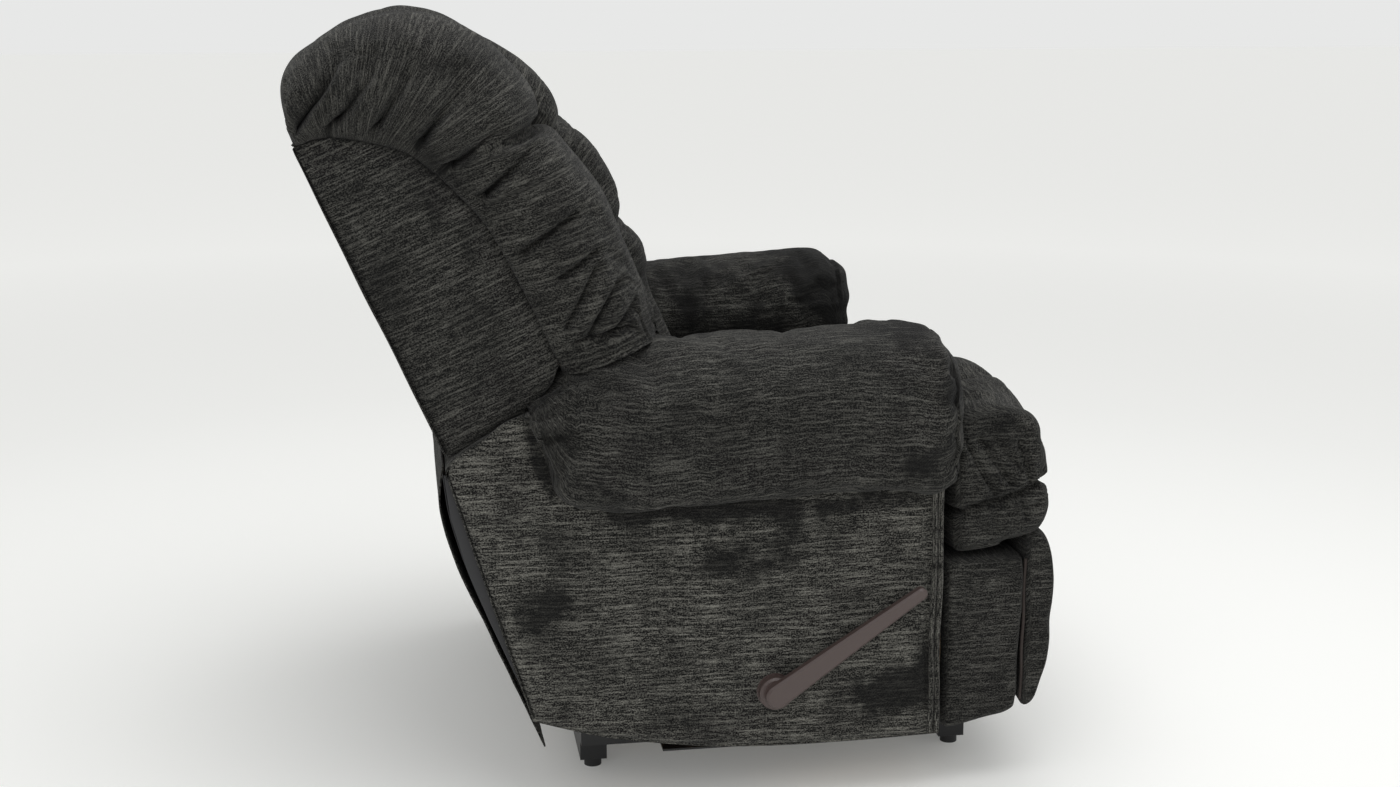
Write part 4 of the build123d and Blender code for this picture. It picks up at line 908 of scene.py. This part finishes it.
bolster(
    "footrest_front",
    [
        (-0.4955, 0.120), (-0.4955, 0.200), (-0.4955, 0.300), (-0.4960, 0.366), (-0.5040, 0.378),
        (-0.5160, 0.378), (-0.5300, 0.362), (-0.5390, 0.312), (-0.5405, 0.240), (-0.5330, 0.172),
        (-0.5170, 0.120), (-0.5030, 0.107),
    ],
    half=0.4185,
    round_end=0.020,
    body="footrest",
    replaced=["footrest_pad"],
    shape=footrest_pad_shape,
)
tape = plain("sewing_tape", (0.028, 0.020, 0.017), 0.8)
for side, name in ((-1, "right"), (1, "left")):
    z = np.linspace(0.120, 0.336, 60)
    edge = np.stack((np.full(60, side * 0.4120), -0.4934 + 0.0006 * np.sin(z * 70), z), axis=1)
    cord("footrest_tape_" + name, edge, 0.0024, "footrest", tape)

# Rear flap: one loose piece of chenille hung from the rear rail over the open rear, down to the
# base; raw cut edges, with a smooth dark lining behind its upper half and along both arms.
def hung(name, half, path, ragged, wave, thick, material, replaced, seed, over=0.0):
    """A path seen from the side carried across the chair, waved more towards its lower end and
    pushed out by over where it lies on the rail, with uneven cut edges; a thin closed sheet."""
    line = curve(path, 110)
    v = np.linspace(0.0, 1.0, 110)[None, :]
    across_ = np.linspace(-1.0, 1.0, 200)[:, None]
    draw = np.random.default_rng(seed)
    fray = np.convolve(draw.normal(size=114), np.ones(5) / 5, "valid")[None, :]
    x = across_ * half + np.sign(across_) * np.abs(across_) ** 30 * ragged * fray
    grid = np.stack((x + 0 * v, line[:, 0] + 0 * x, line[:, 1] + 0 * x), axis=-1)
    hem = np.convolve(draw.normal(size=204), np.ones(5) / 5, "valid")[:, None]
    grid[..., 2] += ragged * hem * v**40
    on_rail = np.exp(-(((grid[..., 2] - 0.196) / 0.055) ** 2))
    grid[..., 1] += over * on_rail * np.clip((0.39 - np.abs(x)) / 0.10, 0.0, 1.0)
    facing = outward(grid)
    if facing[100, 50, 1] < 0:
        facing = -facing
    ripple = wave * v * (1.0 + np.sin(x * 17 + 1.3 * np.sin(x * 7)) + 0.3 * np.sin(x * 43 + v * 4))
    front = grid + facing * (ripple + thick / 2)[..., None]
    back = grid + facing * (ripple - thick / 2)[..., None]
    gone = length_gone(line)
    weave = np.stack(np.broadcast_arrays(x, gone[None, :]), axis=-1)
    nap_and_shade = 0.25 + 0 * x * v
    made = slab(name, front, back, weave, nap_and_shade, "chassis", replaced, material)
    return made


flap_path = [(0.3390, 0.513), (0.3445, 0.450), (0.323, 0.366)]
flap_path += [(0.2900, 0.288), (0.2490, 0.190), (0.2085, 0.095)]
hung(
    "flap", half=0.414, path=flap_path, ragged=0.004, wave=0.0016, thick=0.0024,
    material=chenille_laid, replaced=["rear_flap"], seed=51, over=0.0125,
)
lining = plain("lining", (0.026, 0.026, 0.028), 0.7)
lining_path = [(0.3400, 0.500), (0.332, 0.440), (0.311, 0.366), (0.283, 0.292), (0.262, 0.242)]
hung(
    "flap_lining", half=0.424, path=lining_path, ragged=0.0005, wave=0.0004, thick=0.0012,
    material=lining, replaced=[], seed=52,
)
for side, name in ((-1, "right"), (1, "left")):
    z = np.linspace(0.150, 0.500, 60)[:, None]
    front_edge = np.interp(z, (0.139, 0.492), (0.215, 0.323))
    heights = (0.139, 0.190, 0.288, 0.366, 0.440, 0.500)
    rear_edge = np.interp(z, heights, (0.224, 0.243, 0.286, 0.3165, 0.336, 0.3415))
    y = front_edge + (rear_edge - front_edge) * np.linspace(0.0, 0.84, 12)[None, :]
    grid = np.stack((0.4270 + 0.0 * y, y, z + 0.0 * y), axis=-1)
    back = grid - np.array((0.0014, 0.0, 0.0))
    for part in (grid, back):
        part[..., 0] *= side
    slab("flap_return_" + name, grid, back, grid[..., 1:], 0.0 * y, "chassis", [], lining)


# Back panels: chenille drawn over the plywood wings and across the rear of the back, sewn along
# the curved seam to the pillows; the slub runs square to the rear edge.
back_foot_y, back_foot_z = 0.344, 0.549
lean_upright, lean_rearward = 0.9143, 0.4051


def leaned(n, t, x):
    """Points of the leaning back from depth in front of its rear, height along it and place
    across the chair."""
    y = back_foot_y - lean_upright * n + lean_rearward * t + 0 * x
    z = back_foot_z + lean_rearward * n + lean_upright * t + 0 * x
    return np.stack((x + 0 * n, y, z), axis=-1)


seam_points = [
    (0.000, 0.431), (0.035, 0.428), (0.072, 0.410), (0.125, 0.369), (0.147, 0.333), (0.165, 0.290),
    (0.181, 0.238), (0.187, 0.180), (0.190, 0.100), (0.190, 0.022),
]
for side, name in ((-1, "right"), (1, "left")):
    seam = curve(seam_points, 140)[::-1]
    rear = curve([(0.0, -0.026), (0.0, 0.20), (0.0, 0.429)], 140)
    a = np.linspace(0.0, 1.0, 70)[None, :]
    b = np.linspace(0.0, 1.0, 140)[:, None]
    n = rear[:, :1] * (1 - a) + seam[:, :1] * a
    t = rear[:, 1:] * (1 - a) + seam[:, 1:] * a
    t = t - np.interp(a, (0.0, 0.35, 0.69, 0.9, 1.0), (0.003, 0.014, 0.025, 0.014, 0.0)) * (1 - b) ** 6
    rim = np.minimum(np.minimum(a, 1 - a) * 0.19, np.minimum(b, 1 - b) * 0.45)
    x = 0.4245 + 0.004 * np.sin(np.pi * a) * np.sin(np.pi * b) - 0.0068 * np.clip(1 - rim / 0.014, 0, 1) ** 2
    grid = leaned(n, t, x)
    grid[..., 0] += 0.0013 * crumple(grid, 0.14, 61) + 0.0005 * crumple(grid, 0.05, 62)
    back = leaned(n, t, np.full(x.shape, 0.4172))
    nap_and_shade = 0.5 * groove(grid, (0.36, 0.86), (0.24, 0.70), 0.05)
    for part in (grid, back):
        part[..., 0] *= side
    weave = np.stack((n + 7.0, t), -1)
    slab("back_side_" + name, grid, back, weave, nap_and_shade, "back", ["back_side_cover_" + name])
x, t = np.meshgrid(np.linspace(-0.4265, 0.4265, 160), np.linspace(-0.023, 0.430, 100), indexing="ij")
rim = np.minimum(0.4265 - np.abs(x), np.minimum(t + 0.023, 0.430 - t))
n = -0.0025 - 0.003 * np.clip(rim / 0.15, 0, 1) + 0.0018 * np.clip(1 - rim / 0.012, 0, 1) ** 2
grid = leaned(n, t, x)
grid[..., 1] += 0.001 * crumple(grid, 0.15, 63)
back = leaned(0 * n - 0.0004, t, x)
slab("back_rear", grid, back, np.stack((x, t), -1), 0.2 + 0 * x, "back", ["back_rear_cover"])


# Wing columns: fibre-filled pillows along both sides of the back, one over the shoulder and one
# below it, parted by a deep crease and drawn into pleats along the curved seam.
def along_of(line, point):
    """Share of a line's length at which it passes nearest to a point."""
    return np.argmin(np.linalg.norm(line - np.asarray(point), axis=1)) / (len(line) - 1)


def wing(side, name):
    """Rings from the seam, over the bulging outside, across the front and back along the inner
    wall; each ring lies between one point of the seam and one of the outline."""
    outline = curve(
        [
            (-0.002, 0.436), (-0.001, 0.470), (0.012, 0.509), (0.048, 0.533), (0.094, 0.537),
            (0.140, 0.538), (0.180, 0.533), (0.217, 0.520), (0.258, 0.490), (0.291, 0.444),
            (0.310, 0.395), (0.318, 0.361), (0.314, 0.333), (0.300, 0.318), (0.323, 0.302),
            (0.335, 0.250), (0.345, 0.206), (0.344, 0.160), (0.341, 0.116), (0.344, 0.072),
            (0.343, 0.026), (0.334, -0.012),
        ],
        230,
    )
    fine = curve(seam_points, 1000)
    share = np.linspace(0.0, 1.0, 230)
    crease = along_of(outline, (0.300, 0.318))
    share = np.interp(share, (0.0, crease, 1.0), (0.0, along_of(fine, (0.147, 0.333)), 1.0))
    seam = fine[np.rint(share * 999).astype(int)]
    seam[:, 1] -= 0.016 * np.clip((np.linspace(0.0, 1.0, 230) - 0.9) / 0.1, 0.0, 1.0)
    ring = curve(
        [
            (0.000, 0.4200), (0.035, 0.4310), (0.110, 0.4395), (0.280, 0.4430), (0.500, 0.4400),
            (0.720, 0.4250), (0.880, 0.3960), (0.975, 0.3560), (1.000, 0.3100), (0.995, 0.2600),
            (0.960, 0.2180), (0.860, 0.1960), (0.620, 0.1915), (0.300, 0.1915), (0.010, 0.1930),
            (0.000, 0.2400), (0.000, 0.3400), (0.000, 0.4200),
        ],
        240,
    )
    ring[-1] = ring[0]
    w, x = ring[None, :, 0], ring[None, :, 1]
    n = seam[:, :1] + w * (outline[:, :1] - seam[:, :1])
    t = seam[:, 1:] + w * (outline[:, 1:] - seam[:, 1:])
    s = np.linspace(0.0, 1.0, 230)[:, None]
    tight = 0.016 * np.exp(-(((s - crease) / 0.016) ** 2)) * np.clip((w - 0.45) * 2.2, 0, 1)
    tight = tight + 0.020 * (np.clip(1 - s / 0.05, 0, 1) ** 2 + np.clip((s - 0.95) / 0.05, 0, 1) ** 2)
    x = np.where(x > 0.30, x - tight, x)
    grid = leaned(n, t, x)
    facing = outward(grid, True)
    if facing[120, 50, 0] < 0:
        facing = -facing
    outside = np.clip((grid[..., 0] - 0.34) / 0.06, 0.0, 1.0)
    sink, crisp = np.zeros(grid.shape[:2]), np.zeros(grid.shape[:2])
    for start, end in (
        ((0.513, 0.966), (0.455, 1.062)), ((0.472, 0.957), (0.405, 1.051)),
        ((0.415, 0.958), (0.363, 1.042)), ((0.363, 0.937), (0.294, 1.027)),
        ((0.332, 0.908), (0.246, 0.963)), ((0.282, 0.871), (0.203, 0.943)),
    ):
        far = np.linalg.norm(grid[..., 1:] - np.asarray(start), axis=-1)
        fade = np.clip(1.15 - far / np.linalg.norm(np.subtract(end, start)), 0.0, 1.0)
        sink += 0.018 * groove(grid, start, end, 0.0068) * fade
        crisp += groove(grid, start, end, 0.0042) * fade
    for start, end in (
        ((0.171, 0.698), (0.119, 0.779)), ((0.137, 0.690), (0.086, 0.758)),
        ((0.104, 0.684), (0.059, 0.729)), ((0.176, 0.766), (0.119, 0.800)),
        ((0.158, 0.677), (0.066, 0.695)), ((0.230, 0.800), (0.150, 0.850)),
    ):
        sink += 0.011 * groove(grid, start, end, 0.0070)
        crisp += 0.8 * groove(grid, start, end, 0.0042)
    sink, crisp = sink * outside, np.clip(crisp * outside, 0.0, 1.0)
    free = np.clip(w / 0.08, 0.0, 1.0) * (grid[..., 0] > 0.1935)
    held = (w < 0.03) | (grid[..., 0] < 0.20) | (sink > 0.0075) | (s < 0.03)
    start = grid - facing * ((sink + 0.005) * free)[..., None]
    grid = swell("wing", start, held, pressure=3.0, slack=0.035, cap=0.014)
    grid = grid - facing * (0.25 * sink * free + 0.0055 * crisp * np.clip(w / 0.02, 0.0, 1.0))[..., None]
    ripple = 0.0016 * crumple(grid, 0.13, 71) * free + 0.0008 * crumple(grid, 0.05, 72) * free
    grid = grid + facing * ripple[..., None]
    around = girth_gone(grid)
    gone = length_gone(outline)
    weave = np.stack(np.broadcast_arrays(around, gone[:, None]), axis=-1) + (9.0, 2.0)
    # Painted shade: darker along the pleats and the crease, deepest on their crisp lines.
    nap_and_shade = np.clip(sink / 0.018, 0, 1) * 0.30 + crisp * 0.70
    grid[..., 0] *= side
    pillows = ["head_pillow_" + name, "wing_pillow_" + name]
    return roll("wing_" + name, grid, weave, nap_and_shade, "back", pillows)


def wing_tail(side, name):
    """The lower end of a wing pillow, tucked between the arm pad and the middle pillow: rounded
    oblongs one above the other."""
    turn_ = np.linspace(0.0, 2 * np.pi, 81)[None, :]
    v = np.linspace(0.0, 1.0, 70)[:, None]
    fullness = np.sqrt(np.sqrt(np.clip(1 - np.abs(2 * v - 1) ** 5, 0.002, 1)))
    n = 0.215 + 0.117 * fullness * np.sign(np.cos(turn_)) * np.abs(np.cos(turn_)) ** 0.45
    x = 0.2160 + 0.0235 * fullness * np.sign(np.sin(turn_)) * np.abs(np.sin(turn_)) ** 0.45
    t = -0.158 + 0.248 * v + 0 * turn_
    grid = leaned(n, t, x)
    grid[:, -1] = grid[:, 0]
    weave = np.stack((n + 11.0, t), axis=-1)
    grid[..., 0] *= side
    return roll("wing_tail_" + name, grid, weave, 0.3 + 0 * t, "back", [])


for side, name in ((-1, "right"), (1, "left")):
    wing(side, name)
    wing_tail(side, name)


# Middle column: three fibre-filled pillows between the wings, one above the other, standing out
# further than the wings, with a deep crease between each two.
def middle_column():
    """The outline of the three pillows from the side, carried across and drawn in at both ends."""
    outline = curve(
        [
            (0.000, 0.432), (0.012, 0.462), (0.059, 0.504), (0.140, 0.519), (0.214, 0.503),
            (0.252, 0.481), (0.310, 0.414), (0.345, 0.348), (0.350, 0.310), (0.340, 0.285),
            (0.362, 0.270), (0.372, 0.228), (0.373, 0.190), (0.371, 0.145), (0.357, 0.113),
            (0.371, 0.099), (0.377, 0.076), (0.371, 0.043), (0.360, 0.016), (0.354, -0.040),
            (0.352, -0.115), (0.333, -0.153), (0.262, -0.156),
        ],
        300,
    )
    core = curve(
        [
            (0.004, 0.430), (0.036, 0.428), (0.074, 0.412), (0.125, 0.372), (0.160, 0.330),
            (0.196, 0.285), (0.196, 0.160), (0.196, 0.020), (0.196, -0.100), (0.205, -0.146),
        ],
        300,
    )
    half, soft = 0.1895, 0.055
    x, drawn = rounded_span(half, soft, 22, 70)
    deep = np.linalg.norm(outline - core, axis=1)[:, None]
    front = np.clip(1 - 0.80 * drawn[None, :] / np.maximum(deep, 0.06), 0.05, 1.0)
    n = core[:, :1] + (outline - core)[:, :1] * front
    t = core[:, 1:] + (outline - core)[:, 1:] * front
    n = np.concatenate((core[:, :1], n, core[:, :1], core[:, :1]), axis=1)
    t = np.concatenate((core[:, 1:], t, core[:, 1:], core[:, 1:]), axis=1)
    x = np.concatenate(([-half], x, [half], [-half]))[None, :]
    grid = leaned(n, t, x)
    facing = outward(grid, True)
    if facing[:, 30:90, 1].mean() > 0:
        facing = -facing
    bulge = 0.0035 * crumple(grid, 0.15, 81) + 0.0012 * crumple(grid, 0.05, 82)
    bulge[:, [0, -2, -1]] = 0.0
    creased = np.exp(-(((np.arange(300) / 299 - along_of(outline, (0.340, 0.285))) / 0.006) ** 2))
    creased = creased + np.exp(-(((np.arange(300) / 299 - along_of(outline, (0.357, 0.113))) / 0.006) ** 2))
    held = np.broadcast_to(creased[:, None] > 0.5, grid.shape[:2]).copy()
    held[:, [0, 1, 2, -4, -3, -2, -1]] = True
    start = grid - facing * (0.005 * (1 - held))[..., None]
    grid = swell("middle", start, held, pressure=3.0, slack=0.03, cap=0.010)
    grid = grid + facing * (0.5 * bulge)[..., None]
    grid[:, -1] = grid[:, 0]
    gone = length_gone(outline)
    weave = np.stack(np.broadcast_arrays(x, gone[:, None]), axis=-1) + (13.0, 3.0)
    nap_and_shade = 0.25 * (crumple(grid, 0.3, 83) > 0.3)
    pillows = ["head_pillow_centre", "back_pillow_middle", "back_pillow_lower"]
    return roll("middle_pillows", grid, weave, nap_and_shade, "back", pillows)


middle_column()
